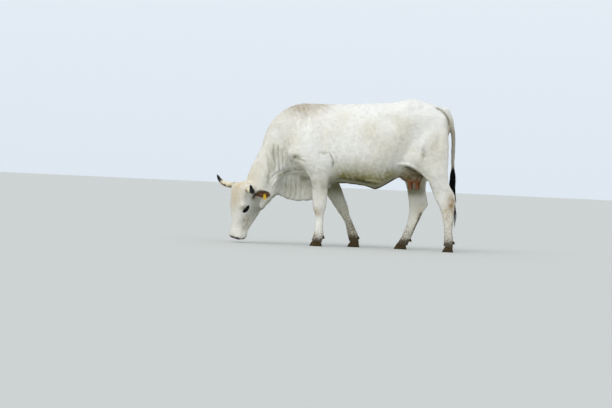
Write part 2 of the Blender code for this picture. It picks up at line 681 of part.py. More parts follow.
def prism(name, outline, place, low, high):
    """A prism over an outline; place(a, b, depth) puts a corner in the cow's frame."""
    points = [place(a, b, depth) for depth in (low, high) for a, b in outline]
    count = len(outline)
    faces = [tuple(range(count)), tuple(range(2 * count - 1, count - 1, -1))]
    for i in range(count):
        j = (i + 1) % count
        faces.append((i, j, count + j, count + i))
    return mesh_object(name, points, faces)


def leg_pod(side, side_outline, inner, by):
    """The space that holds one leg: its outline from the side, and from the front."""
    seen_from_side = prism(
        "pod",
        grown_outline(side_outline, by),
        lambda x, z, y: (x, side * y, z),
        *POD_WIDTH,
    )
    seen_from_front = prism(
        "front",
        grown_outline(inner, by),
        lambda y, z, x: (x, side * y, z),
        *POD_LENGTH,
    )
    return combine(seen_from_side, seen_from_front, "INTERSECT")


def half_space(name, point, away, size=3.0):
    """A large box whose near face lies at a point and faces back along a direction."""
    away = Vector(away).normalized()
    bm = bmesh.new()
    bmesh.ops.create_cube(bm, size=size)
    turn = away.to_track_quat("Z", "Y").to_matrix().to_4x4()
    bm.transform(Matrix.Translation(Vector(point) + away * size / 2) @ turn)
    mesh = bpy.data.meshes.new(name)
    bm.to_mesh(mesh)
    bm.free()
    made = bpy.data.objects.new(name, mesh)
    bpy.context.scene.collection.objects.link(made)
    return made


def legs():
    return [
        loft("left_fore", leg_rings(LEFT_FORE, -1)),
        loft("right_fore", leg_rings(RIGHT_FORE, 1)),
        loft("left_hind", leg_rings(LEFT_HIND, -1)),
        loft("right_hind", leg_rings(RIGHT_HIND, 1)),
    ]


def body_share(points):
    """How much of the full smoothing each place gets: the most where the legs join the trunk."""
    share = np.clip((points[:, 2] - 0.62) / 0.35, 0.07, 1.0)
    for centre, reach, added in EVENED:
        local = (points - np.array(centre)) / reach
        share += added * np.exp(-(local**2).sum(axis=1))
    return np.minimum(1.0, share)


def even_share(points):
    return np.ones(len(points))


def body_flesh():
    trunk = loft("trunk", upright_rings(TRUNK, TRUNK_SIDES))
    dewlap = loft("dewlap", upright_rings(DEWLAP, TRUNK_SIDES))
    head = loft("head", head_rings())
    throat = ball("throat", THROAT_AT, THROAT_SIZE)
    flesh = remeshed(joined("flesh", [trunk, dewlap, head, throat] + legs()), BODY_VOXEL)
    smoothed(flesh, BODY_PASSES, body_share)
    relieved(flesh, body_places())
    return decimated(flesh, BODY_TRIANGLES)


def head_flesh():
    neck = loft("neck", upright_rings(TRUNK[-7:], TRUNK_SIDES))
    head = loft("head", head_rings())
    throat = ball("throat", THROAT_AT, THROAT_SIZE)
    flesh = remeshed(joined("head", [neck, head, throat]), HEAD_VOXEL)
    smoothed(flesh, HEAD_PASSES, even_share)
    relieved(flesh, head_places())
    return decimated(flesh, HEAD_TRIANGLES)


def head_direction(u, v, w):
    return TO_NOSE * u + FACE_OUT * v + TO_LEFT * w


def parted_flesh():
    """The flesh as its named pieces."""
    flesh = body_flesh()
    pieces = {}
    for name, side in LEGS:
        slope = FORE_SLOPE if "fore" in name else HIND_SLOPE
        leg = duplicate(flesh, name + "leg")
        pieces[name] = combine(leg, leg_pod(side, POD_SIDES[name], slope, 0.0), "INTERSECT")
    for name, side in LEGS:
        slope = FORE_SLOPE if "fore" in name else HIND_SLOPE
        combine(flesh, leg_pod(side, POD_SIDES[name], slope, GAP), "DIFFERENCE")
    point, forward = (Vector(v) for v in NECK_PLANE)
    neck = duplicate(flesh, "neck")
    combine(flesh, half_space("front", point - forward.normalized() * GAP, forward), "DIFFERENCE")
    combine(neck, half_space("rear", point, -forward), "DIFFERENCE")
    flesh.name = "torso"
    place, toward = HEAD_PLANE
    point = from_head(*place)
    toward = head_direction(*toward).normalized()
    combine(neck, half_space("front", point - toward * GAP, toward), "DIFFERENCE")
    head = head_flesh()
    combine(head, half_space("rear", point, -toward), "DIFFERENCE")
    pieces.update(torso=flesh, neck=neck, head=head)
    return pieces


def tube(name, path, sides=12, squash=1.0, aside=Vector((0.03, 1.0, 0.02))):
    """A round skin along a path of points and radii, made from rings square to the path."""
    points = [Vector(p) for p, _ in path]
    rings = []
    for i, (centre, (_, radius)) in enumerate(zip(points, path)):
        ahead = points[min(i + 1, len(points) - 1)] - points[max(i - 1, 0)]
        side = ahead.cross(aside).normalized()
        across = ahead.cross(side).normalized()
        rings.append([
            centre + side * math.cos(a) * radius + across * math.sin(a) * radius * squash
            for a in (2 * math.pi * j / sides for j in range(sides))
        ])
    return loft(name, rings)


def ball(name, centre, radii, turn=Matrix.Identity(3), segments=16, rings=10):
    bm = bmesh.new()
    bmesh.ops.create_uvsphere(bm, u_segments=segments, v_segments=rings, radius=1.0)
    scale = Matrix.Diagonal((*radii, 1.0))
    bm.transform(Matrix.Translation(centre) @ turn.to_4x4() @ scale)
    if bm.calc_volume(signed=True) < 0:
        bmesh.ops.reverse_faces(bm, faces=bm.faces)
    mesh = bpy.data.meshes.new(name)
    bm.to_mesh(mesh)
    bm.free()
    made = bpy.data.objects.new(name, mesh)
    bpy.context.scene.collection.objects.link(made)
    return made


def head_turn():
    """Turns x, y and z into the head's u, v and w."""
    return Matrix((TO_NOSE, FACE_OUT, TO_LEFT)).transposed()


def add_eyes(pieces):
    """A ball under two lids that leave an almond-shaped opening, on each side."""
    head = pieces["head"]
    u, v, w = EYE_AT
    half_long, half_high = EYE_OPENING
    slant = Matrix.Rotation(EYE_SLANT, 2)
    for name, side in (("left_eye", 1), ("right_eye", -1)):
        centre = from_head(u, v, side * w)
        lids = ball("lids", centre, (LID_RADIUS,) * 3, head_turn(), 14, 9)
        combine(head, lids, "UNION")
        clear = EYE_RADIUS + GAP
        socket = ball("socket", centre, (clear,) * 3, head_turn(), 14, 9)
        corners = [
            slant @ Vector((half_long * math.cos(a), half_high * math.sin(a)))
            for a in (2 * math.pi * i / 12 for i in range(12))
        ]
        low, high = sorted((side * w, side * (w + LID_CUT_DEPTH)))
        slit = prism("slit", corners, lambda a, b, d: from_head(u + a, v + b, d), low, high)
        combine(socket, slit, "UNION")
        combine(head, socket, "DIFFERENCE")
        pieces[name] = ball(name, centre, (EYE_RADIUS,) * 3, head_turn(), 14, 9)


def add_mouth(pieces):
    """The nostrils and the line between the lips."""
    head = pieces["head"]
    for side in (-1, 1):
        turn = head_turn() @ Matrix.Rotation(side * NOSTRIL_TURN, 3, "Y")
        u, v, w = NOSTRIL_AT
        combine(head, ball("nostril", from_head(u, v, side * w), NOSTRIL_SIZE, turn, 12, 8), "DIFFERENCE")
    angles = [math.pi * (i / 14 - 0.5) for i in range(15)]
    start, length, half_wide, v = MOUTH
    outer, inner = (
        [(start + length * u * math.cos(a), half_wide * w * math.sin(a)) for a in angles]
        for u, w in (LIPS_REACH, MOUTH_DEPTH)
    )
    ring = outer + inner[::-1]
    line = prism("mouth", ring, lambda a, b, d: from_head(a, v + d, b), -MOUTH_GAP / 2, MOUTH_GAP / 2)
    combine(head, line, "DIFFERENCE")


def add_horns(pieces):
    for name, rows in HORN_PATHS.items():
        keys = smooth_rows(rows, 2)
        path = [(from_head(u, v, w), radius) for u, v, w, radius in keys]
        horn = tube(name, path, 10, aside=TO_NOSE + FACE_OUT)
        pieces[name] = combine(horn, inflated(pieces["head"]), "DIFFERENCE")


def ear_frame(side):
    """The ear's root, the way to its tip, the way it opens and the way across it."""
    root = from_head(EAR_ROOT[0], EAR_ROOT[1], side * EAR_ROOT[2])
    along = from_head(EAR_TIP[0], EAR_TIP[1], side * EAR_TIP[2]) - root
    straight = along.normalized()
    down, out, sideways = EAR_OPENS
    opens = head_direction(down, out, side * sideways)
    opens = (opens - straight * opens.dot(straight)).normalized()
    return root, along, opens, straight.cross(opens)


def ear_width(t):
    """Half the ear's width from its narrow root, over its middle, to its tip."""
    rise = min(1.0, max(0.0, (t - 0.10) / 0.42))
    swell = 0.38 + 0.62 * (3 * rise**2 - 2 * rise**3)
    taper = math.sqrt(max(0.012, 1 - max(0.0, (t - 0.42) / 0.58) ** 2.2))
    return EAR_WIDTH * swell * taper


def between(ends, t):
    return ends[0] + (ends[1] - ends[0]) * t


def ear_mesh(name, side):
    """A leaf-shaped cup that opens forward and down, its wall thin at the rim."""
    root, along, opens, across = ear_frame(side)
    outer, inner = [], []
    for i in range(EAR_ROWS + 1):
        t = i / EAR_ROWS
        width = ear_width(t)
        depth = width * between(EAR_DEPTH, t)
        centre = root + along * t + opens * (EAR_SET_BACK * depth)
        for j in range(EAR_COLUMNS + 1):
            s = 2 * j / EAR_COLUMNS - 1
            wrap = s * between(EAR_WRAP, t)
            inward = (opens * math.cos(wrap) - across * math.sin(wrap)).normalized()
            place = centre + across * math.sin(wrap) * width - opens * math.cos(wrap) * depth
            half_wall = EAR_THICKNESS / 2 * (1 - 0.55 * abs(s)) * (1 - 0.4 * t)
            outer.append(place - inward * half_wall)
            inner.append(place + inward * half_wall)
    return shell(name, outer, inner, EAR_ROWS, EAR_COLUMNS)


def shell(name, outer, inner, rows, columns):
    """Two like grids of points joined along their rims."""
    points = outer + inner
    wide = columns + 1
    back = len(outer)
    faces = []
    for i in range(rows):
        for j in range(columns):
            a = i * wide + j
            faces.append((a, a + 1, a + wide + 1))
            faces.append((a, a + wide + 1, a + wide))
            faces.append((back + a, back + a + wide + 1, back + a + 1))
            faces.append((back + a, back + a + wide, back + a + wide + 1))
    rim = [j for j in range(wide)]
    rim += [(i + 1) * wide - 1 for i in range(1, rows + 1)]
    rim += [rows * wide + j for j in range(wide - 2, -1, -1)]
    rim += [i * wide for i in range(rows - 1, 0, -1)]
    for a, b in zip(rim, rim[1:] + rim[:1]):
        faces.append((a, b, back + b, back + a))
    return mesh_object(name, points, faces)


def add_ears(pieces):
    for name, side in (("left_ear", 1), ("right_ear", -1)):
        ear = combine(ear_mesh(name, side), inflated(pieces["head"]), "DIFFERENCE")
        pieces[name] = combine(ear, inflated(pieces["neck"]), "DIFFERENCE")


def add_tag(pieces):
    """A plain tag that hangs in front of the left ear from a stud through it."""
    root, along, opens, _ = ear_frame(1)
    half_wide, length, thick = TAG_SIZE
    outline = [
        (-half_wide / 2, TAG_NECK), (-half_wide, -length * TAG_SHOULDER), (-half_wide, -length),
        (half_wide, -length), (half_wide, -length * TAG_SHOULDER), (half_wide / 2, TAG_NECK),
    ]
    stud_at = root + along * TAG_ALONG
    front = stud_at + opens * TAG_STANDS_OUT
    up = (Vector((0, 0, 1)) - opens * opens.z).normalized()
    wide = up.cross(opens)
    tag = prism(
        "ear_tag",
        outline,
        lambda a, b, d: front + wide * a + up * b + opens * d,
        -thick / 2,
        thick / 2,
    )
    stud = tube("stud", [(front, TAG_STUD), (front - opens * TAG_STUD_LENGTH, TAG_STUD)], 8)
    combine(tag, stud, "UNION")
    pieces["ear_tag"] = combine(tag, inflated(pieces["left_ear"]), "DIFFERENCE")


def add_udder(pieces):
    """The bag with four teats, cut to fit between the thighs."""
    parts = [ball("bag", UDDER_AT, UDDER_SIZE, segments=24, rings=16)]
    for x, y in TEATS:
        path = [((x, y * part, z), radius) for part, z, radius in TEAT_PATH]
        parts.append(tube("teat", path))
    udder = remeshed(joined("udder", parts), UDDER_VOXEL)
    smoothed(udder, UDDER_PASSES, even_share)
    udder = decimated(udder, UDDER_TRIANGLES)
    for name in ("torso", "left_hind", "right_hind"):
        combine(udder, inflated(pieces[name]), "DIFFERENCE", "MANIFOLD")
    pieces["udder"] = udder


def add_tail(pieces):
    """The tail in two lengths, and the switch as overlapping locks on a small core."""
    keys = smooth_rows(TAIL, 2)
    tail = tube("tail_lower", [((x, 0.0, z), radius) for x, z, radius in keys], 12)
    combine(tail, inflated(pieces["torso"]), "DIFFERENCE")
    upper = duplicate(tail, "tail_upper")
    middle = (0.0, 0.0, TAIL_PARTED_AT)
    combine(upper, half_space("below", middle, (0, 0, -1)), "DIFFERENCE")
    above = (0.0, 0.0, TAIL_PARTED_AT - GAP)
    combine(tail, half_space("above", above, (0, 0, 1)), "DIFFERENCE")
    pieces["tail_upper"] = upper
    pieces["tail_lower"] = tail
    pieces["tail_switch"] = tail_switch()


def tail_switch():
    top = SWITCH_TOP - Vector((0, 0, GAP))
    core = [(top - Vector((x, 0, down)), radius) for x, down, radius in SWITCH_CORE]
    switch = tube("tail_switch", core, 10)
    draw = random.Random(SWITCH_SEED)
    for i in range(SWITCH_LOCKS):
        share = i / SWITCH_LOCKS
        around = TURN_BETWEEN * share
        out = Vector((math.cos(around), math.sin(around), 0))
        root = top - Vector((0, 0, between(LOCK_ROOTS, share))) + out * LOCK_ROOT_OUT
        combine(switch, switch_lock(root, out, draw), "UNION")
    return switch


def switch_lock(root, out, draw):
    """One flat tapered lock that leaves the core and falls."""
    length = draw.uniform(*LOCK_LENGTHS)
    spread = draw.uniform(*LOCK_SPREADS)
    sway = draw.uniform(*LOCK_SWAYS)
    side = Vector((-out.y, out.x, 0))
    rings = []
    for t, width in LOCK_STEPS:
        middle = root + out * spread * math.sin(math.pi * min(1, t * 1.3) / 2)
        drift = LOCK_DRIFT * t + sway * math.sin(5 * t)
        middle += Vector((drift, sway * math.cos(4 * t), -length * t))
        half = LOCK_WIDTH * width
        thick = LOCK_THICKNESS * (0.3 + 0.7 * width)
        rings.append([
            middle - side * half,
            middle + out * thick,
            middle + side * half,
            middle - out * thick,
        ])
    return loft("lock", rings)


def add_feet(pieces):
    """Two claws on a flat sole under each leg, and two dewclaws behind its fetlock."""
    for leg_name, toe, heel, out, side, width in FEET:
        leg = pieces[leg_name]
        slope = (CORONET_FRONT - CORONET_HEEL) / (heel - toe)
        below = (-slope, 0.0, -1.0)
        combine(leg, half_space("floor", (toe, 0.0, CORONET_FRONT), below), "DIFFERENCE")
        for place, sign in (("outer", 1), ("inner", -1)):
            centre = side * (out + sign * (width + CLAW_GAP) / 2)
            name = f"{leg_name}_{place}_claw"
            pieces[name] = claw(name, toe, heel, centre, side * sign, width)
        add_dewclaws(pieces, leg_name, heel, out, side)


def claw(name, toe, heel, centre, outward, width):
    """A claw that narrows and turns in at its toe, under a sloping coronet."""
    length = heel - toe
    rings = []
    for height in CLAW_HEIGHTS:
        front = toe + height * CLAW_LEAN
        rear = heel - height * HEEL_LEAN
        wide = width * (1.0 - CLAW_TAPER * height)
        ring = []
        for j in range(CLAW_SIDES):
            a = 2 * math.pi * j / CLAW_SIDES
            x = (front + rear) / 2 + (rear - front) / 2 * power(math.cos(a), CLAW_ROUNDNESS)
            ahead = max(0.0, ((front + rear) / 2 - x) / length * 2)
            y = wide / 2 * power(math.sin(a), CLAW_ROUNDNESS) * (1 - TOE_TAPER * ahead**2)
            y -= outward * TOE_TURNS_IN * width * ahead**2
            top = CORONET_FRONT - (CORONET_FRONT - CORONET_HEEL) * (x - toe) / length - GAP
            ring.append((x, centre + y, top * height))
        rings.append(ring)
    return loft(name, rings)


def add_dewclaws(pieces, leg_name, heel, out, side):
    x, z = DEWCLAW_AT[leg_name]
    for place, sign in (("outer", 1), ("inner", -1)):
        centre = Vector((x, side * (out + sign * DEWCLAW_SPREAD), z))
        turn = Matrix.Rotation(DEWCLAW_TURN, 3, "Y")
        name = f"{leg_name}_{place}_dewclaw"
        made = ball(name, centre, DEWCLAW_SIZE, turn, 8, 5)
        pieces[name] = combine(made, inflated(pieces[leg_name]), "DIFFERENCE")


MATERIALS = {
    "coat": ((0.80, 0.79, 0.74), 0.75),
    "eye": ((0.010, 0.008, 0.006), 0.10),
    "horn": ((0.72, 0.66, 0.52), 0.40),
    "ear": ((0.62, 0.56, 0.44), 0.80),
    "tag": ((0.85, 0.65, 0.05), 0.45),
    "udder": ((0.62, 0.34, 0.20), 0.65),
    "switch": ((0.015, 0.014, 0.013), 0.60),
    "hoof": ((0.13, 0.10, 0.06), 0.60),
}
MATERIAL_WORDS = ("eye", "horn", "ear_tag", "udder", "switch", "claw", "ear")


def material_name(node):
    for word in MATERIAL_WORDS:
        if word in node:
            return {"claw": "hoof", "ear_tag": "tag"}.get(word, word)
    return "coat"


def finish(pieces):
    """Names, materials and the collection of the finished pieces."""
    collection = bpy.data.collections.new("chianina_cow")
    bpy.context.scene.collection.children.link(collection)
    made = {}
    for name, (colour, roughness) in MATERIALS.items():
        material = bpy.data.materials.new(name)
        material.use_nodes = True
        surface = material.node_tree.nodes["Principled BSDF"]
        surface.inputs["Base Color"].default_value = (*colour, 1.0)
        surface.inputs["Roughness"].default_value = roughness
        surface.inputs["Metallic"].default_value = 0.0
        made[name] = material
    for name, piece in pieces.items():
        piece.name = name + "_leg" if name in POD_SIDES else name
        piece.data.materials.clear()
        piece.data.materials.append(made[material_name(name)])
        piece.data.transform(Matrix.Translation(STAND_AT))
        bpy.context.scene.collection.objects.unlink(piece)
        collection.objects.link(piece)
        piece.data.shade_smooth()


def main():
    clear_scene()
    pieces = parted_flesh()
    add_feet(pieces)
    add_udder(pieces)
    add_tail(pieces)
    add_mouth(pieces)
    add_eyes(pieces)
    add_horns(pieces)
    add_ears(pieces)
    add_tag(pieces)
    finish(pieces)


if __name__ == "__main__":
    main()
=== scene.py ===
"""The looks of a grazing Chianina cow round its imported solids.

The cow faces -X, its left side is towards -Y, +Z is up and the floor is at Z = 0. All sizes are
metres. Shapes are made where the tables below put them and moved by STAND_AT at the end.
"""

import math

import bmesh
import bpy
import numpy as np
from mathutils import Matrix, Vector


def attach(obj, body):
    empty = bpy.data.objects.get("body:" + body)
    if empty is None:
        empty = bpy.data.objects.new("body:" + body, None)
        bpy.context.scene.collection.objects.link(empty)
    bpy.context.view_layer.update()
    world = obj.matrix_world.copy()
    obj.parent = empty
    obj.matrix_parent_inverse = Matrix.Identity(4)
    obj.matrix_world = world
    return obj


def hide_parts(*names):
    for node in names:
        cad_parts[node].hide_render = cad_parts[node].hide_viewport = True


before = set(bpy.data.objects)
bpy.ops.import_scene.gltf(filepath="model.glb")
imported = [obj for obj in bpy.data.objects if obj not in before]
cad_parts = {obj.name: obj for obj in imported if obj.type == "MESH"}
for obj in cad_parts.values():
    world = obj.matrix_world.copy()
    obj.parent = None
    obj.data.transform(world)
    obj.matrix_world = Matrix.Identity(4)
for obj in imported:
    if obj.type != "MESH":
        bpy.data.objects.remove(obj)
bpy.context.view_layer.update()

STAND_AT = Vector((0.032, 0.086, 0.0))
SKIN_VOXEL = 0.007
SOLID_VOXEL = 0.011  # of the solids, whose smoothing the skin repeats at its own voxel
SOLID_PASSES = 40
COAT_DEPTH = 0.003  # from the solids in to the skin
TRUNK_SIDES = 64
LEG_SIDES = 40
STEPS_BETWEEN = 6  # rings from one row to the next
FINE_PASSES = 3  # of smoothing after each subdivision of the head

# Trunk and neck, from the rump forward. Each row: top x, top z, bottom x, bottom z, shift in y,
# half width, level of the widest place (share of the height), roundness of the crown and the keel.
TRUNK = [
    (1.150, 1.340, 1.140, 1.250, 0.000, 0.030, 0.50, 2.0, 2.0),
    (1.130, 1.430, 1.115, 1.150, 0.000, 0.095, 0.55, 2.0, 2.0),
    (1.060, 1.530, 1.050, 0.990, 0.000, 0.165, 0.62, 2.0, 2.0),
    (0.960, 1.572, 0.960, 0.880, 0.000, 0.210, 0.66, 2.0, 1.9),
    (0.860, 1.592, 0.860, 0.830, 0.000, 0.245, 0.68, 2.0, 1.8),
    (0.740, 1.620, 0.740, 0.800, 0.000, 0.268, 0.68, 2.1, 1.7),
    (0.620, 1.592, 0.620, 0.762, 0.000, 0.285, 0.58, 2.2, 1.8),
    (0.500, 1.568, 0.500, 0.690, 0.000, 0.320, 0.47, 2.2, 2.0),
    (0.390, 1.556, 0.385, 0.632, 0.000, 0.348, 0.43, 2.1, 1.9),
    (0.280, 1.549, 0.280, 0.657, 0.000, 0.358, 0.42, 2.1, 2.1),
    (0.140, 1.538, 0.140, 0.674, 0.000, 0.350, 0.42, 2.1, 2.1),
    (0.000, 1.531, 0.000, 0.678, 0.000, 0.320, 0.44, 2.0, 2.1),
    (-0.160, 1.522, -0.140, 0.670, 0.000, 0.275, 0.46, 1.8, 2.1),
    (-0.320, 1.526, -0.270, 0.660, 0.000, 0.245, 0.46, 1.7, 2.1),
    (-0.450, 1.520, -0.390, 0.700, 0.000, 0.230, 0.44, 1.7, 2.1),
    (-0.570, 1.480, -0.500, 0.745, -0.003, 0.210, 0.42, 1.8, 2.1),
    (-0.660, 1.418, -0.585, 0.745, -0.010, 0.190, 0.42, 1.8, 2.1),
    (-0.755, 1.318, -0.640, 0.710, -0.030, 0.168, 0.43, 1.8, 2.1),
    (-0.783, 1.208, -0.680, 0.665, -0.060, 0.150, 0.44, 1.8, 2.1),
    (-0.811, 1.098, -0.705, 0.615, -0.092, 0.134, 0.46, 1.8, 2.1),
    (-0.870, 0.990, -0.708, 0.545, -0.118, 0.122, 0.48, 1.9, 2.1),
    (-0.921, 0.884, -0.712, 0.492, -0.138, 0.110, 0.50, 1.9, 2.1),
    (-0.971, 0.780, -0.738, 0.442, -0.156, 0.100, 0.50, 1.9, 2.1),
    (-1.000, 0.675, -0.796, 0.385, -0.172, 0.090, 0.50, 1.9, 2.1),
]

# Dewlap and brisket, from the throat back, in rows like the trunk's.
DEWLAP = [
    (-0.770, 0.640, -0.715, 0.470, -0.120, 0.040, 0.60, 2.0, 1.6),
    (-0.700, 0.760, -0.665, 0.512, -0.075, 0.040, 0.65, 2.0, 1.5),
    (-0.620, 0.830, -0.618, 0.506, -0.035, 0.036, 0.70, 2.0, 1.5),
    (-0.540, 0.860, -0.545, 0.476, -0.012, 0.038, 0.70, 2.0, 1.5),
    (-0.450, 0.860, -0.460, 0.466, 0.000, 0.046, 0.70, 2.0, 1.6),
    (-0.360, 0.860, -0.375, 0.472, 0.000, 0.060, 0.68, 2.0, 1.7),
    (-0.270, 0.860, -0.290, 0.484, 0.000, 0.078, 0.64, 2.0, 1.8),
    (-0.180, 0.850, -0.200, 0.545, 0.000, 0.095, 0.60, 2.0, 1.9),
    (-0.080, 0.830, -0.090, 0.640, 0.000, 0.095, 0.55, 2.0, 2.0),
]

# Where the jaw and the neck run into each other.
THROAT_AT = Vector((-0.850, -0.150, 0.425))
THROAT_SIZE = (0.075, 0.085, 0.075)

# Where the head's joint with the neck is evened out: centre, reach, share of the smoothing added.
EVENED = [
    ((-0.850, -0.150, 0.425), 0.12, 0.35),
    ((-1.010, -0.200, 0.650), 0.08, 0.35),
]
THIN_SHARE = 0.03  # of the smoothing, for the tail and the teats
UDDER_SHARE = 0.12

# Legs, from the top down. Each row: height z, front x, rear x, distance from the mid-plane, half
# width, how much narrower the rear is than the front, and roundness.
LEFT_FORE = [
    (1.470, -0.400, -0.280, 0.060, 0.035, 0.0, 1.7),
    (1.380, -0.470, -0.180, 0.100, 0.065, 0.0, 1.7),
    (1.260, -0.520, -0.120, 0.138, 0.092, 0.0, 1.7),
    (1.120, -0.560, -0.085, 0.165, 0.108, 0.0, 1.7),
    (1.000, -0.575, -0.065, 0.178, 0.114, 0.0, 1.8),
    (0.920, -0.555, -0.068, 0.184, 0.112, 0.1, 1.9),
    (0.850, -0.470, -0.085, 0.188, 0.104, 0.1, 2.0),
    (0.780, -0.372, -0.103, 0.187, 0.091, 0.1, 2.1),
    (0.700, -0.322, -0.118, 0.183, 0.078, 0.1, 2.2),
    (0.600, -0.301, -0.125, 0.178, 0.066, 0.1, 2.2),
    (0.500, -0.292, -0.131, 0.173, 0.057, 0.1, 2.3),
    (0.430, -0.283, -0.133, 0.170, 0.057, 0.2, 2.4),
    (0.380, -0.271, -0.146, 0.168, 0.055, 0.3, 2.4),
    (0.325, -0.251, -0.157, 0.167, 0.043, 0.2, 2.2),
    (0.250, -0.246, -0.159, 0.166, 0.036, 0.1, 2.2),
    (0.180, -0.249, -0.156, 0.166, 0.038, 0.1, 2.2),
    (0.125, -0.260, -0.146, 0.166, 0.048, 0.1, 2.3),
    (0.085, -0.272, -0.152, 0.166, 0.049, 0.1, 2.3),
    (0.050, -0.285, -0.163, 0.166, 0.052, 0.1, 2.4),
    (0.020, -0.295, -0.163, 0.166, 0.052, 0.1, 2.4),
]
RIGHT_FORE = [
    (1.470, -0.400, -0.280, 0.060, 0.035, 0.0, 1.7),
    (1.380, -0.470, -0.180, 0.100, 0.065, 0.0, 1.7),
    (1.260, -0.515, -0.110, 0.138, 0.092, 0.0, 1.7),
    (1.120, -0.540, -0.065, 0.165, 0.108, 0.0, 1.7),
    (1.000, -0.540, -0.035, 0.178, 0.114, 0.0, 1.8),
    (0.920, -0.500, -0.018, 0.184, 0.112, 0.1, 1.9),
    (0.850, -0.420, -0.018, 0.188, 0.104, 0.1, 2.0),
    (0.780, -0.325, -0.022, 0.187, 0.091, 0.1, 2.1),
    (0.700, -0.245, -0.008, 0.183, 0.078, 0.1, 2.2),
    (0.610, -0.182, 0.029, 0.177, 0.066, 0.1, 2.2),
    (0.525, -0.123, 0.064, 0.172, 0.058, 0.1, 2.3),
    (0.445, -0.060, 0.098, 0.168, 0.056, 0.2, 2.4),
    (0.390, -0.018, 0.112, 0.166, 0.055, 0.2, 2.4),
    (0.340, 0.016, 0.126, 0.165, 0.045, 0.2, 2.2),
    (0.288, 0.055, 0.149, 0.165, 0.037, 0.1, 2.2),
    (0.236, 0.079, 0.174, 0.165, 0.036, 0.1, 2.2),
    (0.180, 0.094, 0.200, 0.165, 0.039, 0.1, 2.2),
    (0.130, 0.107, 0.224, 0.165, 0.048, 0.1, 2.3),
    (0.090, 0.119, 0.230, 0.165, 0.049, 0.1, 2.3),
    (0.050, 0.127, 0.236, 0.165, 0.052, 0.1, 2.4),
    (0.020, 0.122, 0.240, 0.165, 0.052, 0.1, 2.4),
]
LEFT_HIND = [
    (1.500, 0.900, 1.040, 0.080, 0.040, 0.0, 1.7),
    (1.420, 0.800, 1.100, 0.112, 0.070, 0.1, 1.7),
    (1.300, 0.730, 1.130, 0.142, 0.098, 0.2, 1.7),
    (1.180, 0.690, 1.143, 0.158, 0.110, 0.3, 1.8),
    (1.060, 0.665, 1.149, 0.165, 0.114, 0.3, 1.8),
    (0.960, 0.640, 1.148, 0.168, 0.112, 0.3, 1.8),
    (0.900, 0.650, 1.147, 0.170, 0.106, 0.3, 1.8),
    (0.865, 0.765, 1.147, 0.172, 0.102, 0.3, 1.9),
    (0.815, 0.855, 1.147, 0.174, 0.094, 0.3, 2.0),
    (0.757, 0.925, 1.151, 0.177, 0.083, 0.4, 2.1),
    (0.705, 0.948, 1.172, 0.180, 0.073, 0.5, 2.2),
    (0.650, 0.972, 1.204, 0.182, 0.064, 0.6, 2.2),
    (0.600, 0.996, 1.230, 0.184, 0.058, 0.6, 2.2),
    (0.550, 1.020, 1.236, 0.186, 0.056, 0.6, 2.3),
    (0.500, 1.046, 1.232, 0.187, 0.055, 0.5, 2.4),
    (0.440, 1.073, 1.229, 0.188, 0.049, 0.4, 2.3),
    (0.385, 1.095, 1.227, 0.189, 0.043, 0.3, 2.2),
    (0.335, 1.109, 1.224, 0.190, 0.040, 0.2, 2.2),
    (0.270, 1.120, 1.220, 0.190, 0.038, 0.1, 2.2),
    (0.200, 1.127, 1.220, 0.190, 0.040, 0.1, 2.2),
    (0.140, 1.128, 1.230, 0.190, 0.049, 0.1, 2.3),
    (0.090, 1.127, 1.230, 0.190, 0.050, 0.1, 2.3),
    (0.050, 1.122, 1.230, 0.190, 0.053, 0.1, 2.4),
    (0.020, 1.116, 1.230, 0.190, 0.053, 0.1, 2.4),
]
RIGHT_HIND = [
    (1.500, 0.900, 1.040, 0.080, 0.040, 0.0, 1.7),
    (1.420, 0.800, 1.095, 0.112, 0.070, 0.1, 1.7),
    (1.300, 0.725, 1.122, 0.142, 0.098, 0.2, 1.7),
    (1.180, 0.670, 1.130, 0.158, 0.110, 0.3, 1.8),
    (1.060, 0.620, 1.118, 0.165, 0.114, 0.3, 1.8),
    (0.960, 0.590, 1.085, 0.168, 0.112, 0.3, 1.8),
    (0.880, 0.605, 1.035, 0.171, 0.104, 0.3, 1.9),
    (0.800, 0.655, 0.975, 0.175, 0.094, 0.3, 2.0),
    (0.740, 0.690, 0.940, 0.179, 0.084, 0.4, 2.1),
    (0.690, 0.712, 0.932, 0.181, 0.074, 0.5, 2.2),
    (0.640, 0.726, 0.934, 0.183, 0.065, 0.6, 2.2),
    (0.590, 0.734, 0.943, 0.185, 0.058, 0.6, 2.2),
    (0.540, 0.744, 0.957, 0.186, 0.056, 0.6, 2.3),
    (0.500, 0.751, 0.961, 0.187, 0.054, 0.6, 2.4),
    (0.465, 0.755, 0.950, 0.188, 0.052, 0.5, 2.4),
    (0.430, 0.757, 0.926, 0.188, 0.047, 0.4, 2.3),
    (0.380, 0.756, 0.901, 0.189, 0.042, 0.3, 2.2),
    (0.325, 0.750, 0.880, 0.190, 0.039, 0.2, 2.2),
    (0.270, 0.738, 0.853, 0.190, 0.037, 0.1, 2.2),
    (0.215, 0.722, 0.830, 0.190, 0.039, 0.1, 2.2),
    (0.160, 0.699, 0.812, 0.190, 0.046, 0.1, 2.3),
    (0.110, 0.674, 0.792, 0.190, 0.050, 0.1, 2.3),
    (0.050, 0.638, 0.764, 0.190, 0.053, 0.1, 2.4),
    (0.020, 0.620, 0.752, 0.190, 0.053, 0.1, 2.4),
]

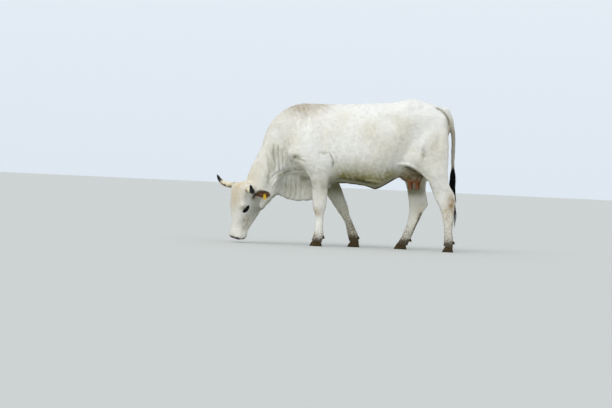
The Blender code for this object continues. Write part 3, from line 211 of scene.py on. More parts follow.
# The head's own frame: u runs down the face from the poll, v stands out of the forehead, and w
# points to the cow's left.
POLL = Vector((-1.096, -0.280, 0.622))
TO_NOSE = Vector((-0.050, 0.141, -0.989)).normalized()
TO_LEFT = Vector((0.636, -0.758, -0.140)).normalized()
FACE_OUT = TO_NOSE.cross(TO_LEFT).normalized()
HEAD_AXES = np.array([TO_NOSE, FACE_OUT, TO_LEFT])
HEAD_WAY = (0.628, 0.779)  # shares of u and v that lead from the nape to the face
HEAD_STARTS = -0.135  # on that way
WHORL = (0.150, 0.0, 0.0)  # on the forehead, from which the hair of the face turns

# Head, from the nape to the lips. Each row: u, top v, bottom v, half width, level of the widest
# place, roundness of the face and of the jaw.
HEAD = [
    (-0.018, -0.058, -0.180, 0.070, 0.55, 2.3, 2.0),
    (-0.002, -0.024, -0.238, 0.110, 0.62, 2.5, 2.0),
    (0.022, 0.000, -0.280, 0.129, 0.68, 2.6, 2.1),
    (0.060, 0.010, -0.305, 0.129, 0.72, 2.7, 2.2),
    (0.120, 0.014, -0.332, 0.121, 0.74, 2.8, 2.3),
    (0.180, 0.013, -0.350, 0.118, 0.76, 2.8, 2.4),
    (0.235, 0.009, -0.352, 0.121, 0.77, 2.7, 2.4),
    (0.290, 0.004, -0.338, 0.113, 0.76, 2.5, 2.4),
    (0.350, 0.001, -0.302, 0.098, 0.72, 2.3, 2.4),
    (0.410, -0.001, -0.261, 0.083, 0.68, 2.1, 2.4),
    (0.465, -0.002, -0.221, 0.077, 0.63, 2.1, 2.3),
    (0.510, 0.002, -0.188, 0.085, 0.58, 2.4, 2.3),
    (0.545, 0.002, -0.176, 0.094, 0.57, 2.7, 2.4),
    (0.575, -0.008, -0.160, 0.091, 0.56, 2.7, 2.4),
    (0.595, -0.032, -0.134, 0.066, 0.54, 2.3, 2.2),
]

# Where bone and muscle stand out of the body or leave a hollow, on both sides of it. Each row:
# x, distance from the mid-plane, z, reach along x, y and z, height.
BODY_RELIEF = [
    (0.690, 0.250, 1.545, 0.055, 0.070, 0.050, 0.034),
    (0.530, 0.300, 1.400, 0.085, 0.120, 0.100, -0.028),
    (0.880, 0.220, 1.510, 0.110, 0.080, 0.055, -0.016),
    (1.090, 0.140, 1.440, 0.045, 0.050, 0.045, 0.022),
    (0.930, 0.270, 1.190, 0.090, 0.090, 0.100, 0.012),
    (0.790, 0.250, 0.960, 0.070, 0.090, 0.070, 0.018),
    (0.000, 0.270, 1.120, 0.070, 0.100, 0.220, -0.012),
    (-0.640, 0.180, 1.160, 0.070, 0.090, 0.180, -0.014),
    (-0.530, 0.250, 0.940, 0.055, 0.070, 0.060, 0.020),
    (-0.085, 0.220, 0.925, 0.035, 0.060, 0.045, 0.016),
    (-0.450, 0.180, 1.300, 0.030, 0.080, 0.130, 0.007),
]

# The same on the head, in its own frame: u, v, distance from its mid-plane, reach along each,
# height.
HEAD_RELIEF = [
    (0.212, -0.020, 0.118, 0.038, 0.034, 0.032, 0.019),
    (0.290, -0.085, 0.110, 0.040, 0.020, 0.040, 0.007),
    (0.215, -0.240, 0.105, 0.070, 0.075, 0.050, 0.008),
    (0.130, -0.085, 0.118, 0.035, 0.040, 0.040, -0.010),
    (0.400, -0.100, 0.088, 0.050, 0.040, 0.040, -0.006),
    (0.560, -0.040, 0.072, 0.026, 0.026, 0.030, 0.008),
    (0.565, -0.162, 0.000, 0.030, 0.026, 0.045, 0.010),
]


# Eyes, in the head's frame: the ball's centre and radius, the radius of the lids over it, half the
# opening's length and height, its slant in radians, and how softly the lids join the face.
EYE_AT = (0.251, -0.068, 0.112)
EYE_RADIUS = 0.0212
LID_RADIUS = 0.0250
EYE_HALF = (0.0225, 0.0140)
EYE_SLANT = 0.70
LID_BLEND = 0.0030
RIM_REACH = (2.10, 1.85)  # of the dark skin, as shares of the opening
RIM_SINKS = 0.0008  # of the lids' edge below the ball
EYE_NEAR = 0.046  # how far round an eye its lids and rim reach
FACE_HALF = 0.075  # distance from the mid-plane beyond which the eyes lie

# Horns, in the head's frame. Each row: u, v, w, radius.
HORN_PATHS = {
    "left_horn": [
        (0.042, -0.062, 0.085, 0.032),
        (0.043, -0.062, 0.145, 0.031),
        (0.045, -0.050, 0.200, 0.030),
        (0.036, -0.022, 0.243, 0.028),
        (0.010, 0.010, 0.268, 0.0210),
        (-0.020, 0.029, 0.279, 0.0140),
        (-0.040, 0.041, 0.283, 0.0030),
    ],
    "right_horn": [
        (0.042, -0.060, -0.085, 0.033),
        (0.042, -0.060, -0.145, 0.032),
        (0.043, -0.042, -0.198, 0.030),
        (0.032, -0.014, -0.246, 0.027),
        (0.003, 0.010, -0.284, 0.0200),
        (-0.028, 0.022, -0.302, 0.0135),
        (-0.048, 0.029, -0.313, 0.0030),
    ],
}

# Ears, in the head's frame, and the way they open. A pair holds a value at the root and the tip.
EAR_ROOT = (0.105, -0.135, 0.100)
EAR_TIP = (0.062, -0.205, 0.318)
EAR_OPENS = (0.15, 0.80, 0.55)
EAR_WIDTH = 0.060
EAR_DEPTH = (1.00, 0.50)
EAR_WRAP = (1.35, 0.95)
EAR_SET_BACK = 0.35
EAR_THICKNESS = 0.006
EAR_RIDGE = 0.0016  # height of the ridges inside the cup
EAR_NARROW = 0.38  # the root's width as a share of the widest
EAR_WIDEST = 0.42  # share of the length where it starts to narrow to the tip

# Tail, in the mid-plane. Each row: x, z, radius.
TAIL = [
    (0.960, 1.500, 0.030),
    (1.040, 1.524, 0.036),
    (1.105, 1.500, 0.034),
    (1.148, 1.420, 0.029),
    (1.178, 1.300, 0.025),
    (1.190, 1.190, 0.024),
    (1.193, 1.080, 0.023),
    (1.195, 0.970, 0.021),
    (1.198, 0.880, 0.018),
    (1.199, 0.860, 0.012),
]
SWITCH_TOP = Vector((1.198, 0.0, 0.905))
TAIL_STARTS = 1.10  # where it hangs free of the rump
TAIL_HALF = 0.05

UDDER_AT = Vector((0.760, 0.0, 0.820))
UDDER_SIZE = Vector((0.145, 0.120, 0.105))
TEATS = [(0.738, -0.055), (0.816, -0.046), (0.770, 0.052), (0.846, 0.044)]
TEATS_MIDDLE = 0.79
# Each row: share of a teat's y at its end, z, radius.
TEAT_PATH = [
    (0.9, 0.760, 0.0280),
    (1.0, 0.725, 0.0200),
    (1.0, 0.680, 0.0160),
    (1.0, 0.650, 0.0145),
    (1.0, 0.638, 0.0095),
]

# Feet: leg's name, toe x, heel x, distance from the mid-plane, side, width of one claw.
FEET = [
    ("left_fore", -0.300, -0.162, 0.166, -1, 0.056),
    ("right_fore", 0.108, 0.243, 0.165, 1, 0.056),
    ("left_hind", 1.112, 1.233, 0.190, -1, 0.053),
    ("right_hind", 0.612, 0.752, 0.190, 1, 0.053),
]
# Claws: heights of the coronet, the gap between two claws, and how their walls lean and narrow.
CORONET_FRONT = 0.072
CORONET_HEEL = 0.044
CLAW_GAP = 0.006
CLAW_LEAN = 0.038
HEEL_LEAN = 0.012
CLAW_TAPER = 0.16
TOE_TAPER = 0.45
TOE_TURNS_IN = 0.10
CLAW_ROUNDNESS = 2.4
CLAW_ROWS = 16
CLAW_SIDES = 48
CLAW_RIPPLE = 0.0003  # height of the growth rings
RIPPLE_RATE = 26  # radians of the rings' wave from the sole to the coronet
SOLE_EDGE = 0.004  # how far the rounded edge of the sole draws in
# Dewclaws: x and z, distance from the leg's middle, half sizes, and turn about y in radians.
DEWCLAW_AT = {
    "left_fore": (-0.153, 0.098),
    "right_fore": (0.225, 0.102),
    "left_hind": (1.231, 0.102),
    "right_hind": (0.787, 0.100),
}
DEWCLAW_SPREAD = 0.020
DEWCLAW_SIZE = (0.013, 0.013, 0.019)
DEWCLAW_TURN = -0.5

# Muzzle, in the head's frame.
NOSTRIL_AT = (0.576, -0.038, 0.060)
NOSTRIL_REACH = (0.0165, 0.0085)
NOSTRIL_DEPTH = 0.017
NOSTRIL_RIM = 0.0030
NOSTRIL_NEAR = 0.040
NOSTRIL_BEND = 25.0
NOSTRIL_INWARD = (-0.80, -0.10, -0.59)
NOSTRIL_LONG = (-0.25, 0.85, 0.45)
MOUTH_LEVEL = -0.118
MOUTH_START = 0.490
MOUTH_GROOVE = (0.0035, 0.0055)  # half width, depth
LIP_SWELL = 0.0030

# Fine relief of the body, on both sides: x, distance from the mid-plane, z, reach along x, y and
# z, height.
FINE_RELIEF = [
    (-0.487, 0.220, 0.928, 0.044, 0.080, 0.028, -0.017),
    (-0.405, 0.220, 0.935, 0.050, 0.080, 0.012, -0.006),
    (-0.200, 0.220, 0.985, 0.060, 0.080, 0.016, -0.005),
    (-0.165, 0.230, 0.860, 0.070, 0.100, 0.110, 0.009),
    (-0.330, 0.240, 1.120, 0.060, 0.090, 0.110, 0.006),
    (-0.250, 0.240, 1.330, 0.040, 0.090, 0.110, 0.007),
    (-0.370, 0.200, 1.360, 0.020, 0.090, 0.120, -0.006),
    (0.820, 0.250, 1.060, 0.020, 0.080, 0.070, -0.008),
    (0.900, 0.250, 1.120, 0.055, 0.080, 0.110, 0.007),
    (1.020, 0.230, 1.180, 0.040, 0.080, 0.140, -0.004),
    (1.090, 0.200, 1.080, 0.045, 0.080, 0.160, 0.006),
]

# Folds of the skin seen from the side: height, width, then points in x and z. A fold below zero is
# a crease.
FOLDS = [
    (0.0080, 0.013, [(-0.745, 1.060), (-0.735, 0.950), (-0.718, 0.850), (-0.712, 0.760)]),
    (-0.0080, 0.009, [(-0.720, 1.090), (-0.712, 0.960), (-0.696, 0.860), (-0.688, 0.770)]),
    (0.0090, 0.011, [(-0.698, 1.080), (-0.688, 0.970), (-0.673, 0.870), (-0.660, 0.760)]),
    (-0.0085, 0.009, [(-0.672, 1.060), (-0.664, 0.950), (-0.650, 0.850), (-0.640, 0.770)]),
    (0.0085, 0.011, [(-0.648, 1.050), (-0.642, 0.940), (-0.627, 0.840), (-0.614, 0.780)]),
    (-0.0085, 0.009, [(-0.622, 1.040), (-0.616, 0.930), (-0.602, 0.830)]),
    (0.0075, 0.011, [(-0.596, 1.010), (-0.590, 0.910), (-0.578, 0.830)]),
    (-0.0070, 0.009, [(-0.570, 0.990), (-0.562, 0.900), (-0.552, 0.830)]),
    (0.0055, 0.011, [(-0.545, 0.990), (-0.540, 0.900), (-0.530, 0.840)]),
    (0.0110, 0.010, [(-0.744, 0.572), (-0.695, 0.660), (-0.645, 0.727), (-0.540, 0.768),
                     (-0.434, 0.785), (-0.369, 0.780), (-0.325, 0.735), (-0.310, 0.650)]),
    (-0.0110, 0.013, [(-0.760, 0.640), (-0.715, 0.720), (-0.645, 0.765), (-0.540, 0.796),
                      (-0.434, 0.812), (-0.370, 0.806)]),
    (0.0085, 0.009, [(-0.590, 0.720), (-0.586, 0.620), (-0.590, 0.530)]),
    (-0.0080, 0.008, [(-0.568, 0.735), (-0.560, 0.640), (-0.566, 0.540), (-0.570, 0.490)]),
    (0.0090, 0.008, [(-0.542, 0.740), (-0.534, 0.640), (-0.538, 0.560), (-0.542, 0.480)]),
    (-0.0090, 0.008, [(-0.517, 0.745), (-0.509, 0.650), (-0.508, 0.560), (-0.514, 0.475)]),
    (0.0095, 0.008, [(-0.492, 0.750), (-0.484, 0.650), (-0.482, 0.560), (-0.488, 0.475)]),
    (-0.0090, 0.008, [(-0.466, 0.750), (-0.458, 0.650), (-0.454, 0.560), (-0.460, 0.475)]),
    (0.0095, 0.009, [(-0.440, 0.752), (-0.434, 0.650), (-0.430, 0.560), (-0.432, 0.475)]),
    (-0.0075, 0.009, [(-0.412, 0.745), (-0.405, 0.650), (-0.402, 0.540)]),
    (0.0070, 0.011, [(-0.384, 0.740), (-0.374, 0.650), (-0.368, 0.510)]),
    (-0.0035, 0.017, [(-0.520, 0.905), (-0.492, 0.926), (-0.455, 0.922), (-0.425, 0.905),
                      (-0.395, 0.897)]),
    (0.0050, 0.018, [(-0.500, 0.880), (-0.455, 0.892), (-0.415, 0.865), (-0.385, 0.850)]),
    (-0.0050, 0.016, [(-0.240, 0.990), (-0.205, 0.984), (-0.165, 0.970)]),
    (-0.0065, 0.008, [(-0.135, 1.000), (-0.100, 0.945), (-0.084, 0.900), (-0.094, 0.830)]),
    (-0.0030, 0.010, [(-0.098, 1.020), (-0.064, 0.965), (-0.042, 0.915)]),
    (0.0060, 0.010, [(-0.148, 0.995), (-0.116, 0.935), (-0.095, 0.880)]),
    (0.0150, 0.013, [(0.560, 0.895), (0.640, 0.915), (0.730, 0.905), (0.810, 0.865),
                     (0.880, 0.810), (0.940, 0.755), (0.970, 0.700)]),
    (-0.0090, 0.016, [(0.600, 0.870), (0.680, 0.878), (0.760, 0.858), (0.830, 0.812),
                      (0.890, 0.750)]),
    (0.0060, 0.010, [(0.240, 0.727), (0.350, 0.722), (0.460, 0.703)]),
    (-0.0022, 0.022, [(0.400, 1.300), (0.385, 1.150), (0.350, 1.000), (0.300, 0.870)]),
    (-0.0022, 0.022, [(0.270, 1.330), (0.255, 1.170), (0.225, 1.000), (0.190, 0.880)]),
    (-0.0020, 0.022, [(0.150, 1.330), (0.130, 1.160), (0.105, 1.000), (0.080, 0.900)]),
    (-0.0060, 0.014, [(0.960, 1.535), (1.033, 1.508), (1.085, 1.465), (1.120, 1.410)]),
    (-0.0045, 0.010, [(0.845, 1.090), (0.850, 1.040), (0.846, 0.990)]),
    (-0.0040, 0.009, [(0.874, 1.080), (0.880, 1.030), (0.874, 0.985)]),
    (0.0050, 0.012, [(-0.820, 1.000), (-0.790, 0.850), (-0.770, 0.720), (-0.790, 0.600)]),
    (-0.0080, 0.016, [(-0.785, 1.010), (-0.760, 0.860), (-0.745, 0.730), (-0.770, 0.610)]),
]

# Folds and bones of the face, on both sides: u, v, distance from the mid-plane, reach along each,
# height.
FACE_RELIEF = [
    (0.208, -0.046, 0.125, 0.012, 0.030, 0.030, 0.0040),
    (0.275, -0.075, 0.122, 0.010, 0.024, 0.030, -0.0035),
    (0.345, -0.120, 0.100, 0.060, 0.010, 0.030, 0.0050),
    (0.430, -0.050, 0.080, 0.050, 0.016, 0.030, -0.0035),
    (0.500, -0.050, 0.082, 0.025, 0.016, 0.030, 0.0030),
    (0.540, -0.145, 0.080, 0.030, 0.012, 0.040, 0.0035),
    (0.566, -0.050, 0.086, 0.024, 0.030, 0.024, -0.0035),
    (0.160, -0.060, 0.118, 0.020, 0.014, 0.030, 0.0030),
    (0.180, -0.200, 0.112, 0.060, 0.018, 0.040, -0.0030),
    (0.110, -0.120, 0.110, 0.030, 0.030, 0.030, 0.0080),
    (0.040, -0.050, 0.105, 0.026, 0.026, 0.020, 0.0060),
]

# Its folds as drawn from the side, in u and v, in rows like the body's.
FACE_FOLDS = [
    (0.0022, 0.0035, [(0.220, -0.026), (0.233, -0.036), (0.255, -0.040), (0.277, -0.038)]),
    (-0.0022, 0.0028, [(0.213, -0.036), (0.227, -0.043), (0.249, -0.046), (0.267, -0.046)]),
    (0.0018, 0.0030, [(0.233, -0.104), (0.251, -0.110), (0.271, -0.104), (0.287, -0.090)]),
    (-0.0020, 0.0026, [(0.231, -0.098), (0.251, -0.103), (0.269, -0.098)]),
    (0.0016, 0.0030, [(0.230, -0.118), (0.253, -0.124), (0.277, -0.116)]),
    (0.0022, 0.0040, [(0.300, -0.090), (0.350, -0.110), (0.420, -0.120), (0.480, -0.112)]),
    (0.0018, 0.0035, [(0.330, -0.150), (0.390, -0.160), (0.450, -0.155), (0.500, -0.150)]),
    (0.0025, 0.0030, [(0.552, -0.020), (0.548, -0.040), (0.556, -0.062)]),
    (-0.0020, 0.0030, [(0.540, -0.022), (0.535, -0.044), (0.545, -0.070)]),
]

# Colours, 0 to 255, and where they lie, on both sides of the cow: stains and clean coat as they
# look in plain light, and painted shade and painted light where marked below. Each place: x,
# distance from the mid-plane and z; reach along each; strength; colour.
COAT_WHITE = (239, 238, 233)
COAT_CREAM = (222, 214, 196)
STAINS_SHADE_AND_LIGHT = [
    ((-0.470, 0.10, 1.470), (0.20, 0.30, 0.10), 0.85, (176, 163, 142)),
    ((-0.260, 0.10, 1.530), (0.15, 0.30, 0.08), 0.70, (178, 164, 142)),
    ((-0.230, 0.25, 1.360), (0.10, 0.30, 0.14), 0.25, (212, 200, 182)),
    ((-0.640, 0.20, 0.960), (0.12, 0.30, 0.20), 0.50, (192, 188, 170)),
    # painted light: the lower shoulder, which faces down, lightened above the coat's own white
    ((-0.150, 0.24, 0.840), (0.10, 0.12, 0.110), 0.70, (248, 247, 242)),
    ((-0.235, 0.17, 0.235), (0.06, 0.10, 0.075), 0.90, (250, 250, 242)),
    ((1.150, 0.19, 0.260), (0.09, 0.10, 0.110), 0.60, (236, 232, 218)),
    # clean coat on the far hind cannon, with painted light above the coat's own white against its
    # shade
    ((0.840, 0.19, 0.280), (0.09, 0.12, 0.120), 0.95, (252, 248, 232)),
    # painted shade: the dewlap greyed, and darker beside the near fore leg
    ((-0.530, 0.10, 0.620), (0.20, 0.20, 0.16), 0.60, (176, 176, 154)),
    ((-0.390, 0.10, 0.715), (0.035, 0.20, 0.050), 0.65, (106, 104, 66)),
    # painted shade in the hollow at the point of the shoulder
    ((-0.487, 0.22, 0.928), (0.048, 0.20, 0.032), 0.75, (112, 110, 78)),
    # painted shade in the crease above the elbow
    ((-0.190, 0.24, 0.985), (0.050, 0.20, 0.022), 0.35, (168, 166, 142)),
    # painted shade in the hollow in front of the thigh and in the flank's hollow
    ((0.862, 0.25, 1.035), (0.026, 0.20, 0.058), 0.65, (124, 118, 86)),
    ((0.559, 0.30, 1.380), (0.040, 0.30, 0.060), 0.35, (190, 190, 172)),
    ((-0.780, 0.10, 1.020), (0.09, 0.30, 0.16), 0.25, (206, 204, 188)),
    # painted shade and dirt: the lower barrel greyer and the belly's underside dark olive
    ((0.200, 0.25, 0.820), (0.70, 0.50, 0.110), 0.50, (186, 184, 160)),
    ((0.300, 0.08, 0.650), (0.55, 0.35, 0.060), 0.95, (84, 74, 12)),
    # painted shade in front of the udder, under the flank
    ((0.740, 0.10, 0.790), (0.14, 0.16, 0.080), 0.50, (124, 108, 50)),
    ((0.790, 0.25, 0.980), (0.10, 0.30, 0.12), 0.30, (196, 190, 172)),
    ((0.640, 0.30, 1.330), (0.05, 0.30, 0.06), 0.30, (196, 194, 176)),
    ((1.120, 0.05, 1.330), (0.06, 0.10, 0.16), 0.45, (182, 168, 140)),
    # painted shade at the top of the fore legs, under the chest
    ((-0.150, 0.16, 0.700), (0.10, 0.08, 0.080), 0.30, (150, 148, 118)),
    ((-0.240, 0.16, 0.368), (0.050, 0.09, 0.048), 0.85, (166, 136, 84)),
    ((-0.250, 0.17, 0.118), (0.030, 0.07, 0.034), 0.55, (152, 122, 82)),
    ((-0.200, 0.17, 0.560), (0.10, 0.10, 0.20), 0.35, (204, 192, 168)),
    ((1.190, 0.19, 0.515), (0.050, 0.09, 0.105), 0.85, (146, 118, 72)),
    ((1.130, 0.19, 0.430), (0.060, 0.09, 0.070), 0.35, (190, 172, 136)),
    ((0.880, 0.19, 0.420), (0.050, 0.08, 0.090), 0.35, (196, 178, 140)),
]

# Dirt, painted shade and a painted highlight drawn from the side: strength, width, colour, then
# points in x and z.
DIRT_SHADE_AND_LIGHT_LINES = [
    # painted shade and dirt: dark olive along the belly's underside
    (0.75, 0.078, (132, 124, 30), [(-0.12, 0.750), (0.10, 0.740), (0.280, 0.725), (0.390, 0.710),
                                   (0.500, 0.760), (0.640, 0.860)]),
    (1.05, 0.046, (74, 66, 2), [(-0.14, 0.712), (0.03, 0.698), (0.150, 0.700), (0.250, 0.694),
                                (0.330, 0.674), (0.385, 0.658), (0.470, 0.686), (0.545, 0.730),
                                (0.640, 0.810)]),
    # painted highlight along the milk vein
    (0.65, 0.012, (196, 192, 162), [(0.240, 0.727), (0.350, 0.722), (0.470, 0.703)]),
    # painted shade down the neck's side where it curves under
    (0.55, 0.045, (160, 160, 138), [(-0.715, 1.100), (-0.730, 0.950), (-0.750, 0.800),
                                    (-0.790, 0.600), (-0.800, 0.540)]),
    # painted shade in a line from the hollow at the point of the shoulder
    (0.50, 0.012, (132, 130, 98), [(-0.480, 0.922), (-0.445, 0.918), (-0.405, 0.902),
                                   (-0.370, 0.890)]),
    # painted shadow along the top of the brisket's fold
    (0.70, 0.014, (116, 116, 82), [(-0.700, 0.690), (-0.620, 0.755), (-0.540, 0.785),
                                   (-0.474, 0.798), (-0.380, 0.805)]),
    # painted shade along the throat and under the jaw
    (0.60, 0.014, (128, 126, 96), [(-0.600, 0.510), (-0.680, 0.520), (-0.760, 0.450),
                                   (-0.800, 0.385), (-0.880, 0.250), (-0.965, 0.110)]),
    # painted shade in two creases at the elbow
    (0.70, 0.009, (124, 122, 92), [(-0.135, 1.000), (-0.100, 0.945), (-0.084, 0.900),
                                   (-0.094, 0.830)]),
    (0.25, 0.012, (160, 158, 130), [(-0.098, 1.020), (-0.064, 0.965), (-0.042, 0.915)]),
    (0.85, 0.014, (60, 52, 28), [(0.120, 0.360), (0.190, 0.230), (0.232, 0.120)]),
    # painted shade under the fold in front of the thigh
    (0.90, 0.013, (56, 48, 12), [(0.650, 0.882), (0.708, 0.880), (0.774, 0.853),
                                 (0.840, 0.812), (0.890, 0.772)]),
    (0.50, 0.030, (146, 134, 88), [(0.620, 0.850), (0.700, 0.855), (0.790, 0.820),
                                   (0.870, 0.750), (0.920, 0.690)]),
    (0.90, 0.018, (76, 58, 32), [(0.900, 0.430), (0.876, 0.364), (0.850, 0.280), (0.815, 0.180),
                                 (0.800, 0.120)]),
    # painted shade in the hollow between the tail's root and the rump
    (0.75, 0.014, (122, 114, 80), [(0.960, 1.535), (1.033, 1.508), (1.085, 1.465), (1.120, 1.410),
                                   (1.135, 1.330)]),
    # painted shade along the dewlap's lower edge
    (0.60, 0.011, (96, 92, 54), [(-0.700, 0.555), (-0.645, 0.525), (-0.560, 0.492),
                                 (-0.477, 0.470), (-0.380, 0.472), (-0.294, 0.488)]),
    (0.60, 0.014, (112, 94, 62), [(1.238, 0.480), (1.225, 0.360), (1.220, 0.240), (1.225, 0.120)]),
]

LEGS_TOP = 0.60  # where the mud and the coat's lower pieces end
LEGS_PART = 0.43  # x between the fore and the hind legs
BODY_STARTS = -0.50  # x behind the neck

# Mud on each leg: height of the solid mud, height that its spots reach, their strength.
LEG_MUD = {
    "left_fore": (0.095, 0.230, 0.45),
    "right_fore": (0.135, 0.480, 0.95),
    "left_hind": (0.120, 0.480, 0.55),
    "right_hind": (0.120, 0.330, 0.70),
}
MUD = (60, 46, 23)
RUST = (152, 124, 84)
# painted shade on the legs' inner faces, deeper high on the far legs
LEG_SHADE = (172, 170, 146)
LEG_DEEP_SHADE = (112, 106, 70)
BARE_SKIN = (88, 83, 82)
# bare udder skin, darkened with painted shade
UDDER_SKIN_SHADED = (88, 68, 26)
TEAT_SKIN = (132, 84, 52)
# grey of the tail, from dirt and painted shade
TAIL_GREY = (138, 131, 112)
SWITCH_BLACK = (7, 7, 8)
# painted shade on the horns' undersides
HORN_UNDER_SHADE = (96, 70, 34)
HOOF_MUD = (76, 61, 28)


def clamp(value):
    return np.clip(value, 0.0, 1.0)


def bell(*terms):
    """1 in the middle of a place, less away from it; the terms are distances over their reach."""
    return np.exp(-sum(term**2 for term in terms))


def ease(value):
    """From 0 to 1 along a smooth step."""
    value = clamp(value)
    return value * value * (3 - 2 * value)


def linear(colour):
    """A colour as it looks, 0 to 255, as the light it reflects."""
    share = np.array(colour, float) / 255
    return np.where(share <= 0.04045, share / 12.92, ((share + 0.055) / 1.055) ** 2.4)


def waves(points, size, seed, count=18):
    """A smooth random field, mostly from -1 to 1, whose bumps are about size across."""
    draw = np.random.default_rng(seed)
    directions = draw.normal(size=(count, 3))
    directions /= np.linalg.norm(directions, axis=1)[:, None]
    rate = 2 * math.pi / size * draw.uniform(0.6, 1.4, count)
    phase = draw.uniform(0, 2 * math.pi, count)
    field = np.sin(points @ (directions * rate[:, None]).T + phase)
    return field.sum(axis=1) * math.sqrt(2 / count) / 1.5


def smooth_rows(rows, steps=STEPS_BETWEEN):
    """Rows read from a smooth curve through the given rows."""
    keys = np.array(rows, float)
    before = np.vstack([2 * keys[0] - keys[1], keys[:-1]])
    after = np.vstack([keys[1:], 2 * keys[-1] - keys[-2]])
    slope = (after - before) / 2
    t = (np.arange(steps) / steps)[:, None]
    rest = 2 * t**3 - 3 * t**2 + 1
    leave = t**3 - 2 * t**2 + t
    arrive = t**3 - t**2
    made = [
        rest * a + (1 - rest) * b + leave * da + arrive * db
        for a, b, da, db in zip(keys[:-1], keys[1:], slope[:-1], slope[1:])
    ]
    return np.vstack(made + [keys[-1:]])


def power(value, roundness):
    return np.sign(value) * np.abs(value) ** (2 / roundness)


def added(name, data):
    """A new object of the scene."""
    made = bpy.data.objects.new(name, data)
    bpy.context.scene.collection.objects.link(made)
    return made


def new_object(name, bm):
    """A new object that takes over the faces of a bmesh."""
    mesh = bpy.data.meshes.new(name)
    bm.to_mesh(mesh)
    bm.free()
    return added(name, mesh)


def mesh_object(name, points, faces):
    """A new object from points and faces, whose faces all look outward."""
    mesh = bpy.data.meshes.new(name)
    mesh.from_pydata([tuple(p) for p in points], [], faces)
    bm = bmesh.new()
    bm.from_mesh(mesh)
    bmesh.ops.recalc_face_normals(bm, faces=bm.faces)
    bm.to_mesh(mesh)
    bm.free()
    return added(name, mesh)


def loft(name, rings):
    """A closed skin over rings of equal count, capped at both ends."""
    sides = len(rings[0])
    points = [p for ring in rings for p in ring]
    faces = []
    for i in range(len(rings) - 1):
        for j in range(sides):
            a = i * sides + j
            b = i * sides + (j + 1) % sides
            faces.append((a, b, b + sides, a + sides))
    faces.append(tuple(range(sides)))
    faces.append(tuple(range(len(points) - sides, len(points))))
    return mesh_object(name, points, faces)


def circle(sides):
    """The cosines and sines of even steps round a circle."""
    angle = np.linspace(0, 2 * math.pi, sides, endpoint=False)
    return np.cos(angle), np.sin(angle)


def section(width, level, upper, lower):
    """Sideways and upward shares of a section that is widest at a level, with two roundnesses."""
    across, up = circle(TRUNK_SIDES)
    above = up > 0
    side = np.where(above, power(across, upper), power(across, lower)) * width
    height = level + np.where(above, (1 - level) * power(up, upper), level * power(up, lower))
    return side, height


def upright_rings(rows):
    """Rings for the trunk and the dewlap, each across the line from its bottom to its top."""
    smooth = smooth_rows(rows)
    middle_x = (smooth[:, 0] + smooth[:, 2]) / 2
    turn = np.arctan(np.gradient(smooth[:, 4]) / np.gradient(middle_x))
    rings = []
    for (top_x, top_z, bottom_x, bottom_z, shift, *shape), yaw in zip(smooth, turn):
        side, height = section(*shape)
        x = bottom_x + (top_x - bottom_x) * height - math.sin(yaw) * side
        y = shift + math.cos(yaw) * side
        z = bottom_z + (top_z - bottom_z) * height
        rings.append(np.column_stack([x, y, z]))
    return rings


def leg_rings(rows, side_sign):
    along, across = circle(LEG_SIDES)
    rings = []
    for z, front, rear, out, width, narrow, roundness in smooth_rows(rows):
        x = (front + rear) / 2 + (rear - front) / 2 * power(along, roundness)
        y = side_sign * out + width * power(across, roundness) * (1 - narrow * (1 + along) / 2)
        rings.append(np.column_stack([x, y, np.full(LEG_SIDES, z)]))
    return rings


def from_head(u, v, w):
    """A point of the head's frame in the cow's frame."""
    return POLL + TO_NOSE * u + FACE_OUT * v + TO_LEFT * w


def to_head(points):
    """Points of the cow's frame as u, v and w of the head's frame."""
    return (points - np.array(POLL)) @ HEAD_AXES.T


def head_rings():
    rings = []
    for u, top, bottom, *shape in smooth_rows(HEAD):
        side, height = section(*shape)
        v = bottom + (top - bottom) * height
        rings.append([from_head(u, v_, w_) for v_, w_ in zip(v, side)])
    return rings


def tube(name, path, sides=24, aside=Vector((0.03, 1.0, 0.02))):
    """A round skin along a path of points and radii, made from rings square to the path."""
    points = [Vector(p) for p, _ in path]
    rings = []
    for i, (centre, (_, radius)) in enumerate(zip(points, path)):
        ahead = points[min(i + 1, len(points) - 1)] - points[max(i - 1, 0)]
        side = ahead.cross(aside).normalized()
        across = ahead.cross(side).normalized()
        rings.append([
            centre + side * math.cos(a) * radius + across * math.sin(a) * radius
            for a in (2 * math.pi * j / sides for j in range(sides))
        ])
    return loft(name, rings)


def ball(name, centre, radii, turn=Matrix.Identity(3), segments=32, rings=20):
    bm = bmesh.new()
    bmesh.ops.create_uvsphere(bm, u_segments=segments, v_segments=rings, radius=1.0)
    scale = Matrix.Diagonal((*radii, 1.0))
    bm.transform(Matrix.Translation(centre) @ turn.to_4x4() @ scale)
    bmesh.ops.recalc_face_normals(bm, faces=bm.faces)
    return new_object(name, bm)


def joined(name, objects):
    """One mesh object that holds the others' meshes, which are then removed."""
    bm = bmesh.new()
    for source in objects:
        bm.from_mesh(source.data)
        bpy.data.objects.remove(source, do_unlink=True)
    return new_object(name, bm)


def remeshed(target, voxel):
    modifier = target.modifiers.new("Remesh", "REMESH")
    modifier.mode = "VOXEL"
    modifier.voxel_size = voxel
    graph = bpy.context.evaluated_depsgraph_get()
    graph.update()
    mesh = bpy.data.meshes.new_from_object(target.evaluated_get(graph))
    target.modifiers.clear()
    target.data = mesh
    return target


def read_vectors(target, kind):
    found = np.empty(len(target.data.vertices) * 3)
    target.data.vertices.foreach_get(kind, found)
    return found.reshape(-1, 3)


def read_points(target):
    return read_vectors(target, "co")


def read_normals(target):
    return read_vectors(target, "normal")


def write_points(target, points):
    target.data.vertices.foreach_set("co", points.ravel())
    target.data.update()


